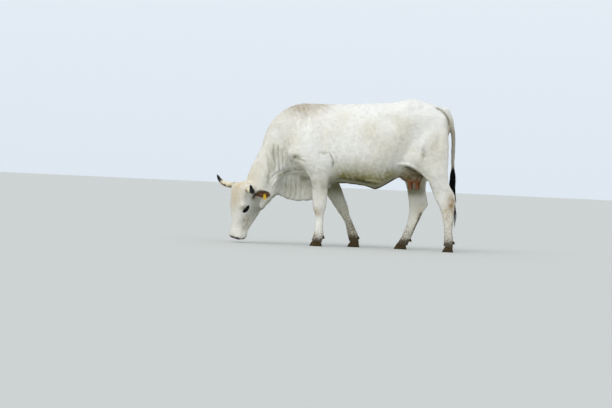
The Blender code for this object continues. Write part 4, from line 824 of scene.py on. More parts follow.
def smoothed(target, passes, share):
    """Evens a mesh out; share gives each point's part of the full smoothing."""
    edges = np.empty(len(target.data.edges) * 2, int)
    target.data.edges.foreach_get("vertices", edges)
    a, b = edges.reshape(-1, 2).T
    points = read_points(target)
    count = np.bincount(edges, minlength=len(points))
    for step in range(passes):
        part = clamp(share * passes - step) * 0.5
        live = part > 0
        total = np.zeros_like(points)
        for axis in range(3):
            total[:, axis] = np.bincount(a, points[b, axis], len(points))
            total[:, axis] += np.bincount(b, points[a, axis], len(points))
        mean = total[live] / count[live, None]
        points[live] += part[live, None] * (mean - points[live])
    write_points(target, points)
    return target


def bumps(points, places):
    """Height of smooth bumps: each has a centre, a reach along each axis and a height."""
    lift = np.zeros(len(points))
    for centre, reach, height in places:
        local = (points - np.array(centre)) / np.array(reach)
        near = (np.abs(local) < 3).all(axis=1)
        lift[near] += height * np.exp(-(local[near] ** 2).sum(axis=1))
    return lift


def both_sides(rows):
    """Rows of a place on the left, its reach and its height, as places on both sides."""
    places = []
    for a, b, c, reach_a, reach_b, reach_c, height in rows:
        for side in (-1, 1):
            places.append(((a, side * b, c), (reach_a, reach_b, reach_c), height))
    return places


def along_line(points, path, width):
    """How near points lie to a line through the path's points, fading towards its two ends."""
    keys = smooth_rows(path, 4)
    lengths = np.linalg.norm(np.diff(keys, axis=0), axis=1)
    starts = np.concatenate([[0], np.cumsum(lengths)])
    best = np.full(len(points), 1e9)
    place = np.zeros(len(points))
    for a, b, start, length in zip(keys[:-1], keys[1:], starts, lengths):
        t = clamp((points - a) @ (b - a) / length**2)
        apart = np.linalg.norm(points - a - t[:, None] * (b - a), axis=1)
        nearer = apart < best
        best[nearer] = apart[nearer]
        place[nearer] = start + t[nearer] * length
    share = place / starts[-1]
    fade = ease(share / 0.18) * ease((1 - share) / 0.18)
    return np.exp(-((best / width) ** 2)) * fade


def near_line(points, path, width):
    """From 0 to 1 as points come near a line through the path's points."""
    share = np.zeros(len(points))
    low = np.min(path, axis=0) - 3 * width
    high = np.max(path, axis=0) + 3 * width
    near = ((points > low) & (points < high)).all(axis=1)
    if near.any():
        share[near] = along_line(points[near], path, width)
    return share


def folds_lift(points, facing, folds):
    """Height of folds drawn in two coordinates, where the surface faces the side."""
    lift = np.zeros(len(points))
    for height, width, path in folds:
        lift += height * near_line(points, path, width) * facing
    return lift


def near_teats(points, reach_x, reach_y, top, bottom=-1.0):
    """Points in an upright box round the teats."""
    x, y, z = points.T
    near = (np.abs(x - TEATS_MIDDLE) < reach_x) & (np.abs(y) < reach_y)
    return near & (z < top) & (z > bottom)


def body_share(points):
    """Each point's part of the smoothing: most where legs join the trunk, least on thin parts."""
    share = np.clip((points[:, 2] - 0.62) / 0.35, 0.07, 1.0)
    for centre, reach, more in EVENED:
        local = (points - np.array(centre)) / reach
        share += more * np.exp(-(local**2).sum(axis=1))
    share = np.minimum(1.0, share)
    tail = (points[:, 0] > 1.085) & (np.abs(points[:, 1]) < 0.045)
    local = (points - np.array(UDDER_AT)) / (np.array(UDDER_SIZE) * 1.15)
    share[tail] = THIN_SHARE
    share[(local**2).sum(axis=1) < 1] = UDDER_SHARE
    share[near_teats(points, 0.11, 0.10, 0.80)] = THIN_SHARE
    return share


LEGS = {
    "left_fore": (LEFT_FORE, -1),
    "right_fore": (RIGHT_FORE, 1),
    "left_hind": (LEFT_HIND, -1),
    "right_hind": (RIGHT_HIND, 1),
}


def raw_skin():
    """All flesh as one even mesh."""
    parts = [
        loft("trunk", upright_rings(TRUNK)),
        loft("dewlap", upright_rings(DEWLAP)),
        loft("head", head_rings()),
    ]
    parts += [loft(name, leg_rings(rows, side)) for name, (rows, side) in LEGS.items()]
    parts += [
        tube("tail", [((x, 0.0, z), radius) for x, z, radius in smooth_rows(TAIL, 4)]),
        ball("udder", UDDER_AT, UDDER_SIZE),
        ball("throat", THROAT_AT, THROAT_SIZE),
    ]
    for x, y in TEATS:
        path = [((x, y * part, z), radius) for part, z, radius in TEAT_PATH]
        parts.append(tube("teat", path))
    skin = remeshed(joined("cow_skin", parts), SKIN_VOXEL)
    passes = round(SOLID_PASSES * (SOLID_VOXEL / SKIN_VOXEL) ** 2)
    return smoothed(skin, passes, body_share(read_points(skin)))


def refined(skin, chosen):
    """Halves the faces whose points are all chosen."""
    bm = bmesh.new()
    bm.from_mesh(skin.data)
    bm.verts.ensure_lookup_table()
    edges = [e for e in bm.edges if chosen[e.verts[0].index] and chosen[e.verts[1].index]]
    bmesh.ops.subdivide_edges(bm, edges=edges, cuts=1, use_grid_fill=True)
    bm.to_mesh(skin.data)
    bm.free()


def head_level(local):
    """How far points lie on the way from the nape to the face."""
    return local[:, 0] * HEAD_WAY[0] + local[:, 1] * HEAD_WAY[1]


def in_head(points, margin=0.0):
    """Points on the head's side of the plane behind the jaw and the ears."""
    return head_level(to_head(points)) > HEAD_STARTS - margin


def near_eye(local):
    from_eye = np.hypot(local[:, 0] - EYE_AT[0], local[:, 1] - EYE_AT[1])
    return (from_eye < EYE_NEAR) & (np.abs(local[:, 2]) > FACE_HALF)


def add_detail(skin):
    """Finer faces on the head, again at the eyes, the nostrils and the lips, and on the udder."""
    refined(skin, in_head(read_points(skin)))
    smoothed(skin, FINE_PASSES, in_head(read_points(skin)).astype(float))
    local = to_head(read_points(skin))
    refined(skin, near_eye(local) | ((local[:, 0] > 0.515) & (local[:, 1] > -0.20)))
    local = to_head(read_points(skin))
    smoothed(skin, FINE_PASSES, (near_eye(local) | (local[:, 0] > 0.50)).astype(float))
    refined(skin, near_teats(read_points(skin), 0.13, 0.125, 0.86, 0.62))


def relieve_body(skin):
    """Bones, muscles and folds of the body."""
    points = read_points(skin)
    normals = read_normals(skin)
    bones = bumps(points, both_sides(BODY_RELIEF))
    lift = bones + bumps(points, both_sides(FINE_RELIEF))
    facing = ease((np.abs(normals[:, 1]) - 0.10) / 0.35)
    lift += folds_lift(points[:, [0, 2]], facing, FOLDS)
    lift += waves(points, 0.110, 3) * 0.0014 + waves(points, 0.045, 4) * 0.0005
    lift = np.where(in_head(points), bones, lift)
    write_points(skin, points + normals * (lift - COAT_DEPTH)[:, None])


def lid_height(local):
    """How far from the head's mid-plane the lids lie round an eye."""
    apart = np.hypot(local[:, 0] - EYE_AT[0], local[:, 1] - EYE_AT[1])
    inside = np.maximum(LID_RADIUS**2 - apart**2, 0)
    return EYE_AT[2] + np.sqrt(inside)


def relieve_head(skin):
    """Bones, folds, lids, nostrils and lips of the head."""
    points = read_points(skin)
    normals = read_normals(skin)
    local = to_head(points)
    head = in_head(points, 0.03)
    lift = bumps(local, both_sides(HEAD_RELIEF)) + bumps(local, both_sides(FACE_RELIEF))
    outward = normals @ HEAD_AXES.T
    facing = ease((np.abs(outward[:, 2]) - 0.15) / 0.30)
    lift += folds_lift(local[:, :2], facing, FACE_FOLDS)
    lift += mouth_lift(local)
    lift += waves(points, 0.030, 5) * 0.0006
    points = points + normals * (lift * head)[:, None]
    local = to_head(points)
    for side in (-1, 1):
        lids = lid_height(local)
        here = near_eye(local) & (local[:, 2] * side > 0)
        w = local[here, 2] * side
        blended = LID_BLEND * np.logaddexp(w / LID_BLEND, lids[here] / LID_BLEND)
        local[here, 2] = side * np.where(lids[here] > EYE_AT[2], blended, w)
        local = with_nostril(local, side)
    points[head] = np.array(POLL) + local[head] @ HEAD_AXES
    write_points(skin, points)


def mouth_lift(local):
    """The groove between the lips and their swelling above and below it."""
    half_wide, depth = MOUTH_GROOVE
    level = MOUTH_LEVEL + 0.020 * ease((MOUTH_START + 0.03 - local[:, 0]) / 0.05)
    apart = local[:, 1] - level
    groove = depth * bell(apart / half_wide)
    lips = LIP_SWELL * bell((np.abs(apart) - 0.011) / 0.007)
    return (lips - groove) * ease((local[:, 0] - MOUTH_START) / 0.02)


def with_nostril(local, side):
    """Presses in one nostril, a slanting comma with a raised rim."""
    mirror = np.array([1, 1, side])
    apart = local - NOSTRIL_AT * mirror
    inward = NOSTRIL_INWARD * mirror
    long_way = NOSTRIL_LONG * mirror
    long_way -= inward * inward.dot(long_way) / inward.dot(inward)
    long_way /= np.linalg.norm(long_way)
    wide_way = np.cross(inward / np.linalg.norm(inward), long_way)
    a = apart @ long_way
    b = apart @ wide_way - NOSTRIL_BEND * np.maximum(a, 0) ** 2
    reach = np.hypot(a / NOSTRIL_REACH[0], b / NOSTRIL_REACH[1])
    press = NOSTRIL_DEPTH * bell(reach**2) - NOSTRIL_RIM * bell((reach - 1.5) / 0.45)
    near = np.linalg.norm(apart, axis=1) < NOSTRIL_NEAR
    local[near] += inward * press[near, None]
    return local


def eye_place(local):
    """Points round an eye in its slanted opening's own two directions, as shares of its size."""
    du = local[:, 0] - EYE_AT[0]
    dv = local[:, 1] - EYE_AT[1]
    c, s = math.cos(EYE_SLANT), math.sin(EYE_SLANT)
    return (c * du + s * dv) / EYE_HALF[0], (-s * du + c * dv) / EYE_HALF[1]


def almond(a, b):
    """Below 1 inside the opening, which is pointed at its two ends."""
    return np.abs(b) + np.abs(a) ** 2.2


def open_eyes(skin):
    """Cuts the opening between the lids and folds its edge in towards the ball."""
    bm = bmesh.new()
    bm.from_mesh(skin.data)
    for side in (-1, 1):
        local = to_head(np.array([v.co for v in bm.verts]))
        inside = (almond(*eye_place(local)) < 1) & near_eye(local)
        inside &= local[:, 2] * side > EYE_AT[2] - 0.01
        bm.verts.ensure_lookup_table()
        doomed = [f for f in bm.faces if all(inside[v.index] for v in f.verts)]
        bmesh.ops.delete(bm, geom=doomed, context="FACES")
        rim = [e for e in bm.edges if e.is_boundary and is_near_eye(e, side)]
        snap_rim({v for e in rim for v in e.verts})
        for depth in (0.25, 1.0):
            made = bmesh.ops.extrude_edge_only(bm, edges=rim)["geom"]
            rim = [g for g in made if isinstance(g, bmesh.types.BMEdge) and g.is_boundary]
            sink_rim({v for e in rim for v in e.verts}, side, depth)
        bm.verts.index_update()
    bmesh.ops.recalc_face_normals(bm, faces=bm.faces)
    bm.to_mesh(skin.data)
    bm.free()


def is_near_eye(edge, side):
    local = to_head(np.array([(edge.verts[0].co + edge.verts[1].co) / 2]))
    return bool(near_eye(local)[0]) and local[0, 2] * side > 0


def snap_rim(verts):
    """Moves the cut's points onto the almond, along the lids' ball."""
    for vertex in verts:
        local = to_head(np.array([vertex.co]))
        side = 1 if local[0, 2] > 0 else -1
        for _ in range(6):
            share = 1 / max(0.2, float(almond(*eye_place(local))[0]))
            step = 1 + (share - 1) * 0.6
            local[0, 0] = EYE_AT[0] + (local[0, 0] - EYE_AT[0]) * step
            local[0, 1] = EYE_AT[1] + (local[0, 1] - EYE_AT[1]) * step
        local[0, 2] = side * (float(lid_height(local)[0]) + 0.001)
        vertex.co = from_head(*local[0])


def sink_rim(verts, side, depth):
    """Folds the lids' edge over and in, until it touches the ball."""
    for vertex in verts:
        local = to_head(np.array([vertex.co]))[0]
        across = Vector(local[:2] - EYE_AT[:2]) * (1 - 0.10 * depth)
        ball_at = EYE_AT[2] + math.sqrt(max(0.0, EYE_RADIUS**2 - across.length_squared))
        w = local[2] * side
        w += (ball_at - RIM_SINKS - w) * depth
        vertex.co = from_head(EYE_AT[0] + across.x, EYE_AT[1] + across.y, side * w)


def cut_feet(skin):
    """Ends each leg at its coronet, where the claws begin."""
    bm = bmesh.new()
    bm.from_mesh(skin.data)
    for _, toe, heel, _, side, _ in FEET:
        slope = (CORONET_FRONT - CORONET_HEEL) / (heel - toe)
        near = {
            v for v in bm.verts
            if v.co.z < 0.10 and toe - 0.06 < v.co.x < heel + 0.06 and v.co.y * side > 0.05
        }
        faces = {f for v in near for f in v.link_faces}
        edges = {e for f in faces for e in f.edges}
        verts = {v for f in faces for v in f.verts}
        bmesh.ops.bisect_plane(
            bm,
            geom=[*verts, *edges, *faces],
            plane_co=(toe, 0.0, CORONET_FRONT - 0.001),
            plane_no=(-slope, 0.0, -1.0),
            clear_outer=True,
        )
    bm.to_mesh(skin.data)
    bm.free()


def blend(colours, colour, share):
    """Colours moved towards one colour by a share at each point."""
    return colours + (linear(colour) - colours) * clamp(share)[:, None]


def near_place(points, centre, reach):
    """From 0 to 1 as points come near a place, on both sides of the cow."""
    folded = np.column_stack([points[:, 0], np.abs(points[:, 1]), points[:, 2]])
    return bell(*((folded - np.array(centre)) / np.array(reach)).T)


def coat_tones(points):
    """Colour of skin and coat at points of the cow's frame, and how bare the skin is there."""
    patches = waves(points, 0.35, 11)
    mottle = waves(points, 0.060, 12) * 0.6 + waves(points, 0.022, 13) * 0.4
    colours = np.tile(linear(COAT_WHITE), (len(points), 1))
    cream = 0.40 + 0.26 * patches + 0.15 * mottle
    colours = blend(colours, COAT_CREAM, cream * (1 - 0.85 * ease((points[:, 2] - 1.34) / 0.16)))
    for centre, reach, strength, colour in STAINS_SHADE_AND_LIGHT:
        share = near_place(points, centre, reach) * (1 + 0.35 * mottle)
        colours = blend(colours, colour, strength * share)
    for strength, width, colour, path in DIRT_SHADE_AND_LIGHT_LINES:
        share = near_line(points[:, [0, 2]], path, width) * (1 + 0.30 * mottle)
        colours = blend(colours, colour, strength * share)
    colours = shaded_and_muddy_legs(points, colours, mottle)
    colours = udder_tones(points, colours, mottle)
    colours = tail_tones(points, colours)
    return face_tones(points, colours, mottle)


def shaded_and_muddy_legs(points, colours, mottle):
    """Shade inside the legs, and mud that rises from the feet and thins out in spots."""
    x, y, z = points.T
    spots = waves(points, 0.017, 14) * 0.45 + waves(points, 0.007, 15) * 0.55
    out = np.abs(y)
    # painted shade on each leg's inner half
    inner = ease((0.190 - out) / 0.06) * ease((0.90 - z) / 0.20) * (out > 0.085)
    inner *= 1 - 0.75 * ease((x - LEGS_PART) / 0.05) * ease((0.62 - z) / 0.06)
    inner *= x > -0.36
    colours = blend(colours, LEG_SHADE, 0.70 * inner)
    # deeper painted shade high on the far legs
    shaded = ease((z - 0.50) / 0.14) * ease((0.72 - z) / 0.08) * (y > 0.08)
    colours = blend(colours, LEG_DEEP_SHADE, 0.65 * shaded * inner)
    low = (z < LEGS_TOP) & (x > BODY_STARTS)
    for name, (solid, spotted, strength) in LEG_MUD.items():
        here = low & ((y < 0) == name.startswith("left"))
        here &= (x < LEGS_PART) == name.endswith("fore")
        height = (spotted - z[here]) / (spotted - solid)
        rusty = 0.24 * ease(height + 0.4 * mottle[here])
        flecks = strength * ease((spots[here] - 0.95 + 1.15 * height) / 0.30)
        dense = ease((solid - z[here]) / 0.05 + 0.5 + 0.6 * spots[here])
        colours[here] = blend(colours[here], RUST, rusty)
        colours[here] = blend(colours[here], MUD, np.maximum(flecks, 0.92 * dense))
    return colours


def udder_tones(points, colours, mottle):
    """Bare skin on the udder, darkened with painted shade, browner down the teats."""
    z = points[:, 2]
    local = (points - np.array(UDDER_AT)) / (np.array(UDDER_SIZE) * 1.08)
    bag = ease((1.30 - (local**2).sum(axis=1)) / 0.5)
    bag = np.maximum(bag, near_teats(points, 0.09, 0.09, 0.77, 0.61))
    bag = bag * ease((0.875 - z) / 0.08)
    colours = blend(colours, UDDER_SKIN_SHADED, bag * (0.75 + 0.15 * mottle))
    teats = ease((0.770 - z) / 0.05) * near_teats(points, 0.09, 0.09, 0.77, 0.61)
    return blend(colours, TEAT_SKIN, teats)


def on_tail(points, starts=TAIL_STARTS):
    return (points[:, 0] > starts) & (np.abs(points[:, 1]) < TAIL_HALF)


def tail_tones(points, colours):
    """A tail greyed by dirt and painted shade, turning black where the switch begins."""
    x, y, z = points.T
    tail = ease((x - TAIL_STARTS) / 0.03) * (np.abs(y) < TAIL_HALF) * (z > 0.80)
    colours = blend(colours, TAIL_GREY, 0.75 * tail * ease((1.50 - z) / 0.25))
    return blend(colours, SWITCH_BLACK, tail * ease((0.95 - z) / 0.09))


# Tones of the face: middle and reach in u, v and w; least v; least and most distance from the
# mid-plane; strength; how much the tone is mottled, or None for freckles; colour.
ANY = math.inf
FACE_TONES = [
    ((0.13, 0, 0), (0.12, ANY, 0.11), -0.06, (-1, 1), 0.75, 0, (208, 190, 160)),
    ((0.17, 0, 0), (0.09, ANY, 0.13), -0.10, (-1, 1), 0.60, None, (138, 108, 74)),
    # painted shade on the cheek and down the jaw
    ((0.24, -0.20, 0), (0.15, 0.11, ANY), -1, (0.05, 1), 0.78, 0, (136, 138, 118)),
    ((0.40, -0.110, 0), (0.11, 0.055, ANY), -1, (0.04, 1), 0.60, 0.5, (168, 152, 124)),
    # dark hair and painted shade below the ear's root
    ((0.126, -0.150, 0), (0.030, 0.030, ANY), -1, (0.07, 0.13), 0.95, 0, (84, 74, 40)),
    ((0.535, 0, 0), (0.040, ANY, ANY), -0.15, (-1, 1), 0.65, 0, (226, 224, 214)),
    ((0.02, 0, 0), (0.05, ANY, 0.10), -1, (-1, 1), 0.60, 0.4, (204, 186, 152)),
    # painted shade in the fold above the eye
    ((0.238, -0.030, 0), (0.030, 0.022, ANY), -1, (0.06, 1), 0.60, 0, (138, 128, 96)),
]
NOSTRIL_BLACK = (20, 18, 18)
LID_BLACK = (16, 14, 13)


def face_tones(points, colours, mottle):
    """Dark muzzle and eye rims, a freckled forehead and painted shade that greys the cheeks."""
    local = to_head(points)
    v, wide = local[:, 1], np.abs(local[:, 2])
    head = ease((head_level(local) - HEAD_STARTS + 0.04) / 0.06) * (wide < 0.15)
    freckles = ease((waves(points, 0.011, 16) - 0.72) / 0.25)
    for middle, reach, least, (inner, outer), strength, mottled, colour in FACE_TONES:
        share = bell(*((local - np.array(middle)) / np.array(reach)).T) * strength
        share *= (v > least) & (wide > inner) & (wide < outer)
        share *= freckles if mottled is None else 1 + mottled * mottle
        colours = blend(colours, colour, share * head)
    muzzle = muzzle_share(local) * head
    colours = blend(colours, BARE_SKIN, muzzle)
    nostrils = ease((0.022 - from_nostril(local)) / 0.008)
    colours = blend(colours, NOSTRIL_BLACK, nostrils * head)
    rims = eye_rims(local) * head
    return blend(colours, LID_BLACK, rims), np.maximum(muzzle, rims)


def from_nostril(local):
    """Distance from the nearer nostril."""
    folded = np.column_stack([local[:, :2], np.abs(local[:, 2])])
    return np.linalg.norm(folded - np.array(NOSTRIL_AT), axis=1)


def muzzle_share(local):
    """The bare dark skin between and round the nostrils, and the edges of the lips."""
    u, v, _ = local.T
    edge = waves(local, 0.020, 17) * 0.004
    front = ease((u - 0.572 + edge + 0.30 * np.abs(v + 0.060)) / 0.012)
    front *= ease((v + 0.125) / 0.008) * (v < 0.02)
    lips = bell((v - MOUTH_LEVEL) / 0.006) * ease((u - MOUTH_START - 0.02) / 0.04) * 0.7
    return np.maximum.reduce([front, lips, ease((0.026 - from_nostril(local)) / 0.008)])


def eye_rims(local):
    """The dark skin round the lids, drawn out towards the nose and the ear."""
    a, b = eye_place(local - np.array((0.002, -0.002, 0)))
    size = np.hypot(a / RIM_REACH[0], b / RIM_REACH[1])
    here = (np.abs(local[:, 2]) > FACE_HALF) & (np.abs(a) < 4)
    return ease((1.15 - size) / 0.22) * here


def store(target, name, values):
    """Keeps one number for each point of a mesh."""
    target.data.attributes.new(name, "FLOAT", "POINT").data.foreach_set("value", values)


def store_tones(target, colours, bare):
    """Keeps the coat's colour and bareness for each point of a mesh."""
    tone = target.data.attributes.new("tone", "FLOAT_COLOR", "POINT")
    tone.data.foreach_set("color", np.column_stack([colours, np.ones(len(colours))]).ravel())
    store(target, "bare", bare)


# The way the hair lies.
BODY_FLOW = np.array([0.85, 0.0, -0.50])
NECK_FLOW = np.array([0.55, 0.05, 0.35])
LEG_FLOW = np.array([0.10, 0.0, -1.0])
TAIL_FLOW = np.array([0.05, 0.0, -1.0])


def coat_flow(points):
    """The way the hair lies at each point, before it is laid flat on the skin."""
    x, y, z = points.T
    neck = ease((-0.55 - x) / 0.15)[:, None] * ease((z - 0.35) / 0.2)[:, None]
    flow = BODY_FLOW * (1 - neck) + NECK_FLOW * neck
    legs = ease((0.80 - z) / 0.25)[:, None] * (1 - neck)
    belly = ((np.abs(y) < 0.10) & (x > -0.2) & (x < 0.62))[:, None]
    flow = np.where(belly, flow, flow * (1 - legs) + LEG_FLOW * legs)
    flow = np.where(on_tail(points)[:, None], TAIL_FLOW, flow)
    away = to_head(points) - np.array(WHORL)
    away += np.column_stack([-away[:, 2], np.zeros(len(points)), away[:, 0]]) * 0.35
    away /= np.linalg.norm(away, axis=1)[:, None] + 1e-6
    return np.where(in_head(points)[:, None], away @ HEAD_AXES, flow)


def coat_length(points):
    """How long the hair is at each point."""
    x, y, z = points.T
    local = to_head(points)
    u, _, w = local.T
    head = in_head(points)
    crest = (x < -0.35) & (x > -1.0) & (np.abs(y + 0.1) < 0.14) & (z > 0.9)
    under = (np.abs(y) < 0.12) & (z < 0.80) & (x > -0.3) & (x < 0.6)
    length = np.full(len(points), 0.020)
    for here, value in (
        (z < LEGS_TOP, 0.015),
        (z < 0.20, 0.012),
        (crest, 0.022),
        (under, 0.024),
        (on_tail(points), 0.016),
        (head, 0.010),
        (head & (u > 0.36), 0.0065),
        (head & near_eye(local), 0.0045),
        (head & (u < 0.09) & (np.abs(w) < 0.075), 0.020),
    ):
        length[here] = value
    return length


def around(a, b):
    """The share of a full turn."""
    return np.arctan2(a, b) / (2 * math.pi) + 0.5


def chart(corner, size, across, up):
    """Places on one rectangle of the flat unwrap."""
    return np.column_stack([corner[0] + size[0] * across, corner[1] + size[1] * up])


def bake_place(points):
    """Where points lie on a flat unwrap of the skin: each leg, the head, the tail and the trunk."""
    x, y, z = points.T
    u, v, w = to_head(points).T
    head = in_head(points)
    place = chart((0.02, 0.02), (0.46, 0.46), clamp((x + 1.05) / 2.3), around(y, z - 1.05))
    for i, (_, toe, heel, out, side, _) in enumerate(FEET):
        middle = (toe + heel) / 2
        leg = (z < 0.72) & (y * side > 0.03) & (np.abs(x - middle) < 0.34) & ~head
        turn = around(y - side * out, x - middle)
        place[leg] = chart((0.52 + 0.11 * i, 0.02), (0.09, 0.44), turn, z / 0.72)[leg]
    down = clamp((u + 0.06) / 0.70)
    place[head] = chart((0.02, 0.54), (0.42, 0.42), down, around(w, v + 0.16))[head]
    tail = on_tail(points, 1.13)
    up = clamp((z - 0.8) / 0.8)
    place[tail] = chart((0.52, 0.54), (0.10, 0.42), around(y, x - 1.19), up)[tail]
    return place


def scatter(skin, count, seed, weight):
    """Random roots on a mesh, evenly over its weighted area, and its normals there."""
    mesh = skin.data
    mesh.calc_loop_triangles()
    corners = np.empty(len(mesh.loop_triangles) * 3, int)
    mesh.loop_triangles.foreach_get("vertices", corners)
    corners = corners.reshape(-1, 3)
    points = read_points(skin)
    a, b, c = (points[corners[:, i]] for i in range(3))
    area = np.linalg.norm(np.cross(b - a, c - a), axis=1) / 2
    chance = np.cumsum(area * weight((a + b + c) / 3))
    draw = np.random.default_rng(seed)
    chosen = np.searchsorted(chance, draw.uniform(0, chance[-1], count))
    chosen = corners[np.minimum(chosen, len(corners) - 1)]
    p, q = draw.uniform(size=(2, count))
    flip = p + q > 1
    p[flip], q[flip] = 1 - p[flip], 1 - q[flip]
    shares = np.column_stack([1 - p - q, p, q])[:, :, None]
    roots = (points[chosen] * shares).sum(axis=1)
    facing = (read_normals(skin)[chosen] * shares).sum(axis=1)
    return roots, facing / np.linalg.norm(facing, axis=1)[:, None], draw


# Tufts: how deep their roots sink, and the spread of their sideways lean, bend and facing.
ROOT_SINKS = 0.0010
TUFT_LEAN = 0.20
TUFT_BEND = 0.12
TUFT_FACING = 0.10
# A tuft's three sides as triangles of its points: three at the root, three midway and the tip.
TUFT_SIDES = [
    (0, 2, 1), (0, 1, 4), (0, 4, 3), (1, 2, 5), (1, 5, 4), (2, 0, 3), (2, 3, 5), (3, 4, 6),
    (4, 5, 6), (5, 3, 6),
]


def unit(vectors):
    return vectors / (np.linalg.norm(vectors, axis=1)[:, None] + 1e-9)


def grow_tufts(name, roots, normals, flow, length, draw, lift=0.055, width=0.10, even=True):
    """Flat tapered tufts that lie along the flow, as one mesh."""
    count = len(roots)
    lie = unit(flow - normals * (flow * normals).sum(axis=1)[:, None])
    lie = unit(lie + np.cross(normals, lie) * draw.normal(0, TUFT_LEAN, count)[:, None])
    aside = np.cross(normals, lie)
    long = (length * draw.uniform(0.70, 1.25, count))[:, None]
    wide = long * width * draw.uniform(0.8, 1.3, count)[:, None]
    rise = lift * draw.uniform(0.5, 1.3, count)[:, None]
    bend = draw.normal(0, TUFT_BEND, count)[:, None]
    base = roots - normals * ROOT_SINKS
    middle = roots + lie * long * 0.55 + normals * long * rise * 0.75 + aside * long * bend * 0.4
    points = np.stack([
        base - aside * wide / 2,
        base + aside * wide / 2,
        base + normals * (ROOT_SINKS + wide * 0.25) + lie * long * 0.05,
        middle - aside * wide * 0.38,
        middle + aside * wide * 0.38,
        middle + normals * wide * 0.20,
        roots + lie * long + normals * long * rise + aside * long * bend,
    ], axis=1)
    faces = np.arange(count)[:, None, None] * points.shape[1] + np.array(TUFT_SIDES)
    made = mesh_from_arrays(name, points.reshape(-1, 3), faces.reshape(-1, 3))
    store_coat(made, roots, draw.uniform(0.95, 1.03, count))
    soft = unit(normals + draw.normal(0, TUFT_FACING, (count, 3)))
    if even:
        soft = np.repeat(soft, points.shape[1], axis=0)
        made.data.normals_split_custom_set_from_vertices(soft)
    return made


def grow_each(name, hairs, draw, **shape):
    """Tufts from rows of a root, the way out of the skin, the flow and the length."""
    columns = [np.array(column) for column in zip(*hairs)]
    return grow_tufts(name, *columns, draw, **shape)


def mesh_from_arrays(name, points, faces):
    """A new object from many triangles."""
    mesh = bpy.data.meshes.new(name)
    mesh.vertices.add(len(points))
    mesh.vertices.foreach_set("co", points.ravel())
    mesh.loops.add(faces.size)
    mesh.loops.foreach_set("vertex_index", faces.ravel().astype(np.int32))
    mesh.polygons.add(len(faces))
    mesh.polygons.foreach_set("loop_start", np.arange(0, faces.size, 3, dtype=np.int32))
    mesh.update(calc_edges=True)
    mesh.validate()
    return added(name, mesh)


# Where a tuft's points lie on its patch of the skin's flat unwrap.
PATCH_CORNERS = np.array([
    (0, 0), (1, 0), (0.5, 0.1), (0.15, 0.5), (0.85, 0.5), (0.5, 0.55), (0.5, 1),
])
PATCH_SIZE = 0.003


def store_coat(made, roots, spread):
    """Colours of tufts from their roots, and where each tuft lies on a flat unwrap of the skin."""
    per_tuft = len(PATCH_CORNERS)
    colours = clamp(coat_tones(roots)[0] * spread[:, None])
    store_tones(made, np.repeat(colours, per_tuft, axis=0), np.zeros(len(roots) * per_tuft))
    layer = made.data.uv_layers.new(name="OFBake")
    places = bake_place(roots)[:, None, :] + (PATCH_CORNERS * PATCH_SIZE)[None, :, :]
    layer.data.foreach_set("uv", places[:, np.ravel(TUFT_SIDES), :].ravel())
    made.data.shade_smooth()


def coat_weight(points):
    """How thick the tufts stand: shorter hair needs more of them."""
    weight = (0.018 / coat_length(points)) ** 1.6
    local = to_head(points)
    head = in_head(points)
    weight[muzzle_share(local) * head > 0.4] = 0
    weight[eye_rims(local) * head > 0.5] = 0
    bag = (points - np.array(UDDER_AT)) / np.array(UDDER_SIZE)
    weight[((bag**2).sum(axis=1) < 1.3) & (points[:, 2] < 0.84)] = 0.05
    weight[near_teats(points, 0.10, 0.085, 0.76, 0.61)] = 0
    weight[points[:, 2] < 0.045] = 0
    return weight


# Pieces of the coat: name, tufts, whether they lie on the head, least and most x, least and most z.
ALL = (-ANY, ANY)
COAT_PIECES = [
    ("coat_head", 15000, True, ALL, ALL),
    ("coat_neck", 14000, False, (-ANY, BODY_STARTS), ALL),
    ("coat_shoulders", 15000, False, (BODY_STARTS, 0.05), (LEGS_TOP, ANY)),
    ("coat_barrel", 15000, False, (0.05, 0.65), (LEGS_TOP, ANY)),
    ("coat_rump", 17000, False, (0.65, ANY), (LEGS_TOP, ANY)),
    ("coat_fore_legs", 8000, False, (BODY_STARTS, 0.40), (-ANY, LEGS_TOP)),
    ("coat_hind_legs", 9000, False, (0.40, ANY), (-ANY, LEGS_TOP)),
]
COAT_SEED = 100


def within(values, ends):
    return (values >= ends[0]) & (values < ends[1])


def make_coat(skin):
    """Tufts over the whole skin, in pieces."""
    made = []
    for i, (name, count, on_head, along, up) in enumerate(COAT_PIECES):
        def weight(points):
            here = (in_head(points) == on_head) & within(points[:, 0], along)
            return coat_weight(points) * (here & within(points[:, 2], up))

        roots, normals, draw = scatter(skin, count, COAT_SEED + i, weight)
        made.append(grow_tufts(name, roots, normals, coat_flow(roots), coat_length(roots), draw))
    return made


def make_eyes():
    """A ball in each socket."""
    made = []
    for name, side in (("left_eyeball", 1), ("right_eyeball", -1)):
        centre = from_head(EYE_AT[0], EYE_AT[1], side * EYE_AT[2])
        made.append(ball(name, centre, (EYE_RADIUS,) * 3, head_turn(), 48, 32))
    return made


def head_turn():
    """Turns x, y and z into the head's u, v and w."""
    return Matrix((TO_NOSE, FACE_OUT, TO_LEFT)).transposed()


HORN_BLACK = {"left_horn": 0.39, "right_horn": 0.585}  # share of the length where it turns black
BLACK_STARTS = 0.62  # share at which the horn's colours turn black
HORN_SIDES = 32
HORN_STEPS = 14  # rings from one row to the next
HORN_INSET = 0.0004
RING_HEIGHT = 0.0010
RING_RATE = 95  # radians of the rings' wave over the whole length
RINGED = 0.45  # share of the length over which the rings fade


